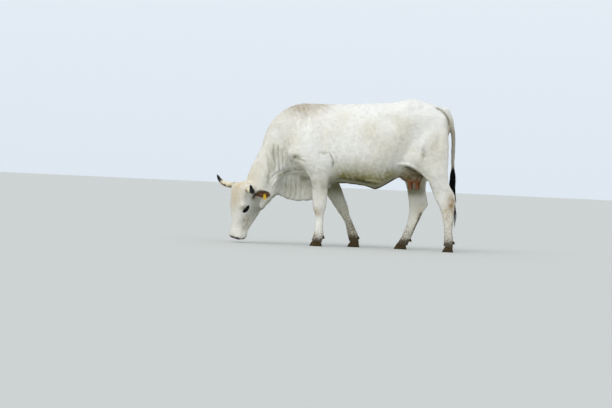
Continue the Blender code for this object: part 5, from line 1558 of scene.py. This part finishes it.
def make_horns():
    """Horns with rings at the root, each point's share of the length kept for the colour."""
    made = []
    for name, rows in HORN_PATHS.items():
        keys = smooth_rows(rows, HORN_STEPS)
        length = np.linspace(0, 1, len(keys))
        radii = keys[:, 3] - HORN_INSET
        radii += np.sin(length * RING_RATE) * RING_HEIGHT * (1 - ease(length / RINGED))
        path = [(from_head(*key[:3]), radius) for key, radius in zip(keys, radii)]
        horn = tube(name + "_shell", path, HORN_SIDES, TO_NOSE + FACE_OUT)
        share = np.interp(length, [0, HORN_BLACK[name], 1], [0, BLACK_STARTS, 1])
        share = np.repeat(share, HORN_SIDES)
        # how far each point faces down, kept for the painted shade of the underside
        below = ease((0.2 - read_normals(horn)[:, 2]) / 0.6) * ease((0.60 - share) / 0.05)
        store(horn, "share", share)
        store(horn, "below", below)
        made.append(horn)
    return made


def ear_frame(side):
    """The ear's root, the way to its tip, the way it opens and the way across it."""
    root = from_head(EAR_ROOT[0], EAR_ROOT[1], side * EAR_ROOT[2])
    along = from_head(EAR_TIP[0], EAR_TIP[1], side * EAR_TIP[2]) - root
    straight = along.normalized()
    down, out, sideways = EAR_OPENS
    opens = TO_NOSE * down + FACE_OUT * out + TO_LEFT * side * sideways
    opens = (opens - straight * opens.dot(straight)).normalized()
    return root, along, opens, straight.cross(opens)


def ear_width(t):
    """Half the ear's width from its narrow root, over its middle, to its tip."""
    swell = EAR_NARROW + (1 - EAR_NARROW) * float(ease((t - 0.10) / 0.42))
    past = max(0.0, (t - EAR_WIDEST) / (1 - EAR_WIDEST))
    return EAR_WIDTH * swell * math.sqrt(max(0.012, 1 - past**2.2))


def between(ends, t):
    return ends[0] + (ends[1] - ends[0]) * t


EAR_ROWS = 44
EAR_COLUMNS = 36


def ear_point(frame_of_ear, t, s, face):
    """A point of the ear's wall: along it, across it from -1 to 1, and outside or inside."""
    root, along, opens, across = frame_of_ear
    width = ear_width(t)
    depth = width * between(EAR_DEPTH, t)
    wrap = s * between(EAR_WRAP, t)
    centre = root + along * t + opens * (EAR_SET_BACK * depth)
    inward = (opens * math.cos(wrap) - across * math.sin(wrap)).normalized()
    place = centre + across * math.sin(wrap) * width - opens * math.cos(wrap) * depth
    wall = face * EAR_THICKNESS / 2 * (1 - 0.55 * abs(s)) * (1 - 0.4 * t)
    if face > 0:
        wall += EAR_RIDGE * math.cos(s * 9) * math.sin(math.pi * min(1, t * 1.1))
    return place + inward * wall


def make_ears():
    """Each ear as a cup with an outer and an inner face."""
    made = []
    grid = [
        (i / EAR_ROWS, 2 * j / EAR_COLUMNS - 1)
        for i in range(EAR_ROWS + 1)
        for j in range(EAR_COLUMNS + 1)
    ]
    for name, side in (("left_ear_skin", 1), ("right_ear_skin", -1)):
        ear_of = ear_frame(side)
        outer = [ear_point(ear_of, t, s, -1) for t, s in grid]
        inner = [ear_point(ear_of, t, s, 1) for t, s in grid]
        ear = shell(name, outer, inner, EAR_ROWS, EAR_COLUMNS)
        store(ear, "inside", np.repeat([0.0, 1.0], len(outer)))
        made.append(ear)
    return made


def shell(name, outer, inner, rows, columns):
    """Two like grids of points joined along their rims."""
    wide = columns + 1
    back = len(outer)
    faces = []
    for a in (i * wide + j for i in range(rows) for j in range(columns)):
        faces.append((a, a + 1, a + wide + 1, a + wide))
        faces.append((back + a, back + a + wide, back + a + wide + 1, back + a + 1))
    rim = list(range(wide))
    rim += [(i + 1) * wide - 1 for i in range(1, rows + 1)]
    rim += [rows * wide + j for j in range(wide - 2, -1, -1)]
    rim += [i * wide for i in range(rows - 1, 0, -1)]
    for a, b in zip(rim, rim[1:] + rim[:1]):
        faces.append((a, b, back + b, back + a))
    return mesh_object(name, outer + inner, faces)


def hair_behind(ear_of, draw):
    """A hair on the ear's back: its root, the way out of the skin, its flow and length."""
    t, s = draw.uniform(0.10, 0.99), draw.uniform(-1, 1)
    _, along, _, across = ear_of
    root = ear_point(ear_of, t, s, -1)
    out = (root - ear_point(ear_of, t, s, 1)).normalized()
    return root, out, along.normalized() + across * s * 0.6, 0.012


def hair_of_fringe(ear_of, draw):
    """A hair near the ear's edge that leans over the cup."""
    t = draw.uniform(0.08, 0.97)
    s = draw.choice([-1, 1]) * (1 - abs(draw.normal(0, 0.16)))
    _, along, opens, across = ear_of
    root = ear_point(ear_of, t, s, 1)
    out = (root - ear_point(ear_of, t, s, -1)).normalized()
    flow = along.normalized() * 0.8 - across * s * 0.8 + opens * 0.3
    return root, out, flow, 0.018 * (1.1 - 0.5 * t)


def hair_at_root(ear_of, draw):
    """A hair in the root of the ear's cup."""
    t, s = draw.uniform(0.0, 0.07), draw.uniform(-1, 1)
    _, along, opens, _ = ear_of
    return ear_point(ear_of, t, s, 1), opens.normalized(), along.normalized(), 0.020


EAR_HAIRS = [(hair_behind, 2600), (hair_of_fringe, 1500), (hair_at_root, 320)]
EAR_HAIR_SEED = 60


def make_ear_hair():
    """Short hair behind each ear, a fringe round its edge and hair in its root."""
    made = []
    for i, (name, side) in enumerate((("left_ear_coat", 1), ("right_ear_coat", -1))):
        ear_of = ear_frame(side)
        draw = np.random.default_rng(EAR_HAIR_SEED + i)
        hairs = [hair(ear_of, draw) for hair, count in EAR_HAIRS for _ in range(count)]
        made.append(grow_each(name, hairs, draw, lift=0.16, width=0.09, even=False))
    return made


def claw(name, toe, heel, centre, outward, width):
    """A claw with faint growth rings that narrows and turns in at its toe."""
    length = heel - toe
    along, across = (power(side, CLAW_ROUNDNESS) for side in circle(CLAW_SIDES))
    rings = []
    for height in np.linspace(0, 1, CLAW_ROWS + 1):
        front = toe + height * CLAW_LEAN
        rear = heel - height * HEEL_LEAN
        middle = (front + rear) / 2
        ripple = CLAW_RIPPLE * math.sin(height * RIPPLE_RATE)
        ripple -= SOLE_EDGE * (1 - min(1, height / 0.12)) ** 2
        half_wide = width * (1 - CLAW_TAPER * height) / 2 + ripple
        x = middle + ((rear - front) / 2 + ripple) * along
        ahead = np.maximum(0.0, (middle - x) / length * 2) ** 2
        y = half_wide * across * (1 - TOE_TAPER * ahead) - outward * TOE_TURNS_IN * width * ahead
        top = CORONET_FRONT - (CORONET_FRONT - CORONET_HEEL) * (x - toe) / length
        rings.append(np.column_stack([x, centre + y, top * height]))
    return loft(name, rings)


def make_claws():
    """All claws and dewclaws, each a piece that stands for its solid."""
    made = []
    turn = Matrix.Rotation(DEWCLAW_TURN, 3, "Y")
    for leg, toe, heel, out, side, width in FEET:
        x, z = DEWCLAW_AT[leg]
        for place, sign in (("outer", 1), ("inner", -1)):
            node = f"{leg}_{place}_claw"
            centre = side * (out + sign * (width + CLAW_GAP) / 2)
            made.append((claw(node + "_horn", toe, heel, centre, side * sign, width), node))
            node = f"{leg}_{place}_dewclaw"
            at = Vector((x, side * (out + sign * DEWCLAW_SPREAD), z))
            made.append((ball(node + "_horn", at, DEWCLAW_SIZE, turn, 28, 18), node))
    for piece, _ in made:
        piece.data.shade_smooth()
    return made


SWITCH_SEED = 21
SWITCH_STRANDS = 1500
STRAND_STEPS = 12
SWITCH_LOCKS = 64
LONG_LOCKS = slice(None, None, 7)
STRAND_RADIUS = (0.0010, 0.0019)
STRAND_TIP = 0.0002
ROOTS_RADIUS = 0.011
CURL = 0.009
SWAY = 0.008


def make_locks(draw):
    """Each lock's angle, start and end below the tail's end, spread and the phases of its waves."""
    angle = draw.uniform(0, 2 * math.pi, SWITCH_LOCKS)
    start = draw.uniform(-0.02, 0.26, SWITCH_LOCKS)
    end = draw.uniform(0.27, 0.39, SWITCH_LOCKS)
    end[LONG_LOCKS] = draw.uniform(0.44, 0.66, len(end[LONG_LOCKS]))
    spread = draw.uniform(0.006, 0.026, SWITCH_LOCKS)
    return list(zip(angle, start, end, spread, draw.uniform(0, 2 * math.pi, (SWITCH_LOCKS, 2))))


def make_switch():
    """Long black hairs in uneven locks that fall from the end of the tail."""
    draw = np.random.default_rng(SWITCH_SEED)
    locks = make_locks(draw)
    points, faces = [], []
    for i in range(SWITCH_STRANDS):
        lock_angle, lock_start, lock_end, lock_spread, phases = locks[i % SWITCH_LOCKS]
        angle = lock_angle + draw.normal(0, 0.30)
        out = Vector((math.cos(angle), math.sin(angle), 0))
        side = Vector((-out.y, out.x, 0))
        start = lock_start + draw.uniform(0, 0.05)
        root = SWITCH_TOP + out * ROOTS_RADIUS - Vector((0, 0, start))
        length = max(0.10, lock_end * draw.uniform(0.86, 1.04) - start)
        spread = lock_spread + draw.normal(0, 0.003)
        radius = draw.uniform(*STRAND_RADIUS)
        rings = []
        for t in np.linspace(0, 1, STRAND_STEPS):
            drop = length * t
            opened = math.sin(math.pi / 2 * min(1, 2.2 * t)) * (1 - 0.45 * t * t)
            away = spread * opened + CURL * t * math.sin(24 * drop + phases[0])
            aside = SWAY * t * math.sin(19 * drop + phases[1])
            middle = root + out * away + side * aside + Vector((0.07 * drop * t, 0, -drop))
            rings.append((middle, radius * (1 - t) ** 0.6 + STRAND_TIP))
        add_strand(points, faces, rings, out, side)
    made = mesh_from_arrays("tail_switch_hair", np.array(points), np.array(faces))
    made.data.shade_smooth()
    return made


def add_strand(points, faces, rings, out, side):
    """One hair with three sides through rings of a centre and a radius, closed at its ends."""
    first = len(points)
    ways = [(math.cos(a), math.sin(a)) for a in (0, 2 * math.pi / 3, 4 * math.pi / 3)]
    for middle, radius in rings:
        points += [middle + out * radius * c + side * radius * s for c, s in ways]
    last = len(points) - 3
    for ring in range(first, last, 3):
        for k in range(3):
            a, b = ring + k, ring + (k + 1) % 3
            faces += [(a, b, b + 3), (a, b + 3, a + 3)]
    faces += [(first, first + 2, first + 1), (last, last + 1, last + 2)]


LASHES = 46  # on each lid
LASH_LENGTH = 0.0085
LASH_SEED = 33


def make_lashes():
    """Short thick lashes along each upper lid."""
    c, s = math.cos(EYE_SLANT), math.sin(EYE_SLANT)
    lashes = []
    for side in (-1, 1):
        for i in range(LASHES):
            a = math.pi * (0.08 + 0.84 * i / (LASHES - 1))
            along = math.cos(a) * EYE_HALF[0]
            across = math.sin(a) ** 1.2 * EYE_HALF[1]
            du, dv = c * along - s * across, s * along + c * across
            w = EYE_AT[2] + math.sqrt(max(0.0, LID_RADIUS**2 - du**2 - dv**2))
            root = from_head(EYE_AT[0] + du, EYE_AT[1] + dv, side * w)
            flow = TO_NOSE * (du * 18) + FACE_OUT * (dv * 30 + 0.35)
            lashes.append((root, TO_LEFT * side, flow, LASH_LENGTH))
    draw = np.random.default_rng(LASH_SEED)
    return grow_each("eyelashes", lashes, draw, lift=0.40, width=0.055)


EVEN = (1.0, 1.0, 1.0)  # the stretch of a noise that is alike along x, y and z


def plain(colour):
    """A grey from 0 to 1, or a colour as it looks, as three shares of reflected light."""
    return (colour,) * 3 if np.isscalar(colour) else tuple(linear(colour))


def ramp(tree, value, stops):
    """Colours along a value."""
    node = tree.nodes.new("ShaderNodeValToRGB")
    while len(node.color_ramp.elements) < len(stops):
        node.color_ramp.elements.new(0.5)
    for element, (place, colour) in zip(node.color_ramp.elements, stops):
        element.position = place
        element.color = (*colour, 1.0)
    tree.links.new(value, node.inputs["Fac"])
    return node.outputs["Color"]


class Look:
    """A material and the steps that lead to its surface."""

    def __init__(self, name, roughness, shine=0.25):
        self.material = bpy.data.materials.new(name)
        self.material.use_nodes = True
        self.tree = self.material.node_tree
        self.surface = self.tree.nodes["Principled BSDF"].inputs
        self.surface["Roughness"].default_value = roughness
        self.surface["Specular IOR Level"].default_value = shine

    def stored(self, name, output="Fac"):
        """What a mesh keeps under a name."""
        node = self.tree.nodes.new("ShaderNodeAttribute")
        node.attribute_name = name
        return node.outputs[output]

    def noise(self, scale, stretch=EVEN, detail=3.0):
        """A noise in the object's own metres, finer along an axis as its stretch grows."""
        place = self.tree.nodes.new("ShaderNodeTexCoord")
        mapping = self.tree.nodes.new("ShaderNodeMapping")
        mapping.inputs["Scale"].default_value = stretch
        noise = self.tree.nodes.new("ShaderNodeTexNoise")
        noise.inputs["Scale"].default_value = scale
        noise.inputs["Detail"].default_value = detail
        self.tree.links.new(place.outputs["Object"], mapping.inputs["Vector"])
        self.tree.links.new(mapping.outputs["Vector"], noise.inputs["Vector"])
        return noise.outputs["Fac"]

    def ramp(self, value, *stops):
        """Greys or colours along a value."""
        return ramp(self.tree, value, [(place, plain(colour)) for place, colour in stops])

    def mixed(self, share, first, second, kind="MIX"):
        """A colour mixed by a share from two colours, each given as a value or a socket."""
        node = self.tree.nodes.new("ShaderNodeMix")
        node.data_type = "RGBA"
        node.blend_type = kind
        low, high = (socket for socket in node.inputs if socket.type == "RGBA")
        self.feed(node.inputs["Factor"], share)
        self.feed(low, first)
        self.feed(high, second)
        return next(socket for socket in node.outputs if socket.type == "RGBA")

    def feed(self, socket, value):
        """Links a socket to another or sets it to a number or a colour."""
        if isinstance(value, bpy.types.NodeSocket):
            self.tree.links.new(value, socket)
        else:
            socket.default_value = (*value, 1.0) if socket.type == "RGBA" else value

    def coloured(self, colour, shade=None):
        """Gives the surface a colour, darkened by a shade."""
        if shade is not None:
            colour = self.mixed(1.0, colour, shade, "MULTIPLY")
        self.feed(self.surface["Base Color"], colour)

    def bumped(self, height, distance, strength):
        node = self.tree.nodes.new("ShaderNodeBump")
        node.inputs["Distance"].default_value = distance
        node.inputs["Strength"].default_value = strength
        self.feed(node.inputs["Height"], height)
        self.feed(self.surface["Normal"], node.outputs["Normal"])


def skin_material():
    """Short hair as fine streaks over the painted tones; bare skin is smoother and pebbled."""
    look = Look("short_coat", 0.80, 0.06)
    bare = look.stored("bare")
    streaks = look.noise(260, (1.0, 1.0, 0.16))
    hair = look.mixed(0.45, streaks, look.noise(60, (0.7, 1.0, 0.35)))
    look.coloured(look.stored("tone", "Color"), look.ramp(streaks, (0.30, 0.86), (0.70, 1.0)))
    look.bumped(look.mixed(bare, hair, look.noise(420, detail=1.0)), 0.004, 0.55)
    look.feed(look.surface["Roughness"], look.ramp(bare, (0.0, 0.82), (1.0, 0.42)))
    return look.material


def hair_material():
    look = Look("coat_tufts", 0.80, 0.06)
    streaks = look.noise(700, (1.0, 1.0, 0.2), 1.0)
    look.coloured(look.stored("tone", "Color"), look.ramp(streaks, (0.30, 0.90), (0.70, 1.0)))
    return look.material


def ear_material():
    """White hair outside and brown mottled skin inside."""
    look = Look("ear_skin", 0.78, 0.10)
    spots = look.noise(90)
    skin = look.ramp(spots, (0.34, (58, 38, 28)), (0.55, (108, 80, 56)), (0.75, (158, 132, 98)))
    hair = look.ramp(spots, (0.30, (206, 198, 180)), (0.75, (232, 228, 216)))
    look.coloured(look.mixed(look.stored("inside"), hair, skin))
    look.bumped(look.noise(240), 0.002, 0.6)
    return look.material


def horn_material():
    """Cream horn with a pale ringed root, painted mottled brown shade on its underside and a black
    tip.
    """
    look = Look("horn", 0.42)
    streaks = look.noise(120)
    shade_below_mottle = look.ramp(look.noise(34, detail=4.0), (0.42, 0.15), (0.60, 1.0))
    base = look.ramp(
        look.stored("share"),
        (0.00, (150, 136, 104)), (0.10, (196, 186, 152)), (0.30, (222, 212, 183)),
        (0.56, (226, 216, 190)), (0.66, (52, 44, 36)), (0.74, (12, 11, 12)),
    )
    # painted shade, brown and mottled, where the horn faces down
    shade_below_share = look.mixed(look.stored("below"), plain(0.0), shade_below_mottle)
    base = look.mixed(shade_below_share, base, plain(HORN_UNDER_SHADE))
    look.coloured(base, look.ramp(streaks, (0.30, 0.78), (0.70, 1.0)))
    look.bumped(streaks, 0.0015, 0.5)
    return look.material


def hoof_material():
    """Dull dark horn under dried mud."""
    look = Look("hoof_horn", 0.70, 0.15)
    mud = look.noise(45, detail=6.0)
    bands = look.noise(30, (1.0, 1.0, 3.0), 5.0)
    horn = look.ramp(bands, (0.35, (38, 31, 22)), (0.65, (66, 55, 38)))
    look.coloured(look.mixed(look.ramp(mud, (0.44, 0.0), (0.60, 0.85)), horn, plain(HOOF_MUD)))
    look.feed(look.surface["Roughness"], look.ramp(mud, (0.44, 0.50), (0.56, 0.92)))
    look.bumped(mud, 0.004, 0.7)
    return look.material


def switch_material():
    look = Look("switch_hair", 0.50, 0.10)
    streaks = look.noise(90, (1.0, 1.0, 0.3))
    look.coloured(look.ramp(streaks, (0.35, (5, 5, 6)), (0.75, (22, 20, 19))))
    return look.material


def eye_material():
    """A very dark brown wet eye."""
    look = Look("eye", 0.12, 0.15)
    look.coloured(look.ramp(look.noise(160), (0.35, (10, 8, 8)), (0.75, (44, 30, 22))))
    return look.material


def tag_material():
    look = Look("ear_tag_plastic", 0.42)
    wear = look.noise(130, detail=6.0)
    look.coloured(
        look.ramp(wear, (0.34, (150, 118, 24)), (0.50, (226, 184, 30)), (0.80, (240, 204, 60)))
    )
    look.bumped(wear, 0.0006, 0.5)
    return look.material


def wear_material(piece, material):
    piece.data.materials.clear()
    piece.data.materials.append(material)


def stand(piece):
    """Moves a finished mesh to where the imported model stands."""
    piece.data.transform(Matrix.Translation(STAND_AT))
    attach(piece, "root")


FLOOR_SIZE = 900.0
FLOOR_GREY = (0.50, 0.51, 0.49)
SKY_STOPS = [(0.50, (0.74, 0.81, 0.88)), (0.62, (0.86, 0.92, 0.98)), (1.00, (0.92, 0.96, 1.00))]
SKY_STRENGTH = 1.0
SUN_FROM = (-0.35, -0.60, 0.72)
SUN_STRENGTH = 1.30
SUN_COLOUR = (1.0, 0.99, 0.96)
SUN_WIDTH = 45.0  # degrees across, for soft shadows


def make_stage():
    """A plain pale floor as far as the eye sees."""
    half = FLOOR_SIZE / 2
    mesh = bpy.data.meshes.new("floor")
    corners = [(-half, -half, 0), (half, -half, 0), (half, half, 0), (-half, half, 0)]
    mesh.from_pydata(corners, [], [(0, 1, 2, 3)])
    floor = added("floor", mesh)
    look = Look("pale_floor", 0.95)
    look.feed(look.surface["Base Color"], FLOOR_GREY)
    mesh.materials.append(look.material)


def make_lights():
    """Soft light from the whole sky and a wide soft lamp from the front left."""
    world = bpy.data.worlds.new("soft_sky")
    bpy.context.scene.world = world
    world.use_nodes = True
    tree = world.node_tree
    place, split, height = (
        tree.nodes.new("ShaderNode" + kind) for kind in ("TexCoord", "SeparateXYZ", "MapRange")
    )
    height.inputs["From Min"].default_value = -1.0
    tree.links.new(place.outputs["Generated"], split.inputs["Vector"])
    tree.links.new(split.outputs["Z"], height.inputs["Value"])
    background = tree.nodes["Background"].inputs
    tree.links.new(ramp(tree, height.outputs["Result"], SKY_STOPS), background["Color"])
    background["Strength"].default_value = SKY_STRENGTH
    data = bpy.data.lights.new("soft_lamp", "SUN")
    data.energy = SUN_STRENGTH
    data.angle = math.radians(SUN_WIDTH)
    data.color = SUN_COLOUR
    lamp = added("soft_lamp", data)
    lamp.rotation_euler = Vector(SUN_FROM).to_track_quat("Z", "Y").to_euler()
    bpy.context.scene.view_settings.view_transform = "Standard"


CAMERA_ROLL = 2.68  # degrees
CAMERA_FAR = 28.0
FRAME_WIDE = 6.548  # what the picture's width shows at the cow
SENSOR_WIDE = 36.0  # millimetres
AIM_AT = Vector((-0.321, 0.086, 0.440))
CAMERA_RISE = 0.6  # degrees above the level


def make_camera():
    """A long lens nearly level with the cow, rolled a little."""
    data = bpy.data.cameras.new("camera")
    data.sensor_width = SENSOR_WIDE
    data.lens = SENSOR_WIDE * CAMERA_FAR / FRAME_WIDE
    data.clip_end = 200.0
    rise, roll = math.radians(CAMERA_RISE), math.radians(CAMERA_ROLL)
    ahead = Vector((0, math.cos(rise), -math.sin(rise)))
    level = Vector((1, 0, 0))
    right = level * math.cos(roll) + level.cross(ahead) * math.sin(roll)
    turn = Matrix((right, right.cross(ahead), -ahead)).transposed().to_4x4()
    camera = added("camera", data)
    camera.matrix_world = Matrix.Translation(AIM_AT - ahead * CAMERA_FAR) @ turn
    bpy.context.scene.camera = camera


def make_skin():
    skin = raw_skin()
    add_detail(skin)
    relieve_body(skin)
    relieve_head(skin)
    cut_feet(skin)
    open_eyes(skin)
    store_tones(skin, *coat_tones(read_points(skin)))
    skin.data.shade_smooth()
    return skin


FLESH = [
    "head", "neck", "torso", "left_fore_leg", "right_fore_leg", "left_hind_leg", "right_hind_leg",
    "udder", "tail_upper", "tail_lower",
]


def dress():
    """Makes every piece, gives it its material and stands it on the floor."""
    skin = make_skin()
    hair = hair_material()
    wear_material(skin, skin_material())
    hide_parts(*FLESH)
    pieces = [skin]
    for coat in make_coat(skin) + make_ear_hair():
        wear_material(coat, hair)
        pieces.append(coat)
    lashes = make_lashes()
    black = switch_material()
    wear_material(lashes, black)
    pieces.append(lashes)
    for group, material, slot, nodes in (
        (make_eyes(), eye_material(), "eye", ("left_eye", "right_eye")),
        (make_horns(), horn_material(), "horn", ("left_horn", "right_horn")),
        (make_ears(), ear_material(), "ear", ("left_ear", "right_ear")),
    ):
        for piece, node in zip(group, nodes):
            piece.data.shade_smooth()
            wear_material(piece, material)
            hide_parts(node)
            pieces.append(piece)
    hoof = hoof_material()
    for piece, node in make_claws():
        wear_material(piece, hoof)
        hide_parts(node)
        pieces.append(piece)
    switch = make_switch()
    wear_material(switch, black)
    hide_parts("tail_switch")
    pieces.append(switch)
    for piece in pieces:
        stand(piece)
    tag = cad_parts["ear_tag"]
    tag.data.materials.clear()
    tag.data.materials.append(tag_material())


def main():
    dress()
    make_stage()
    make_lights()
    make_camera()


main()
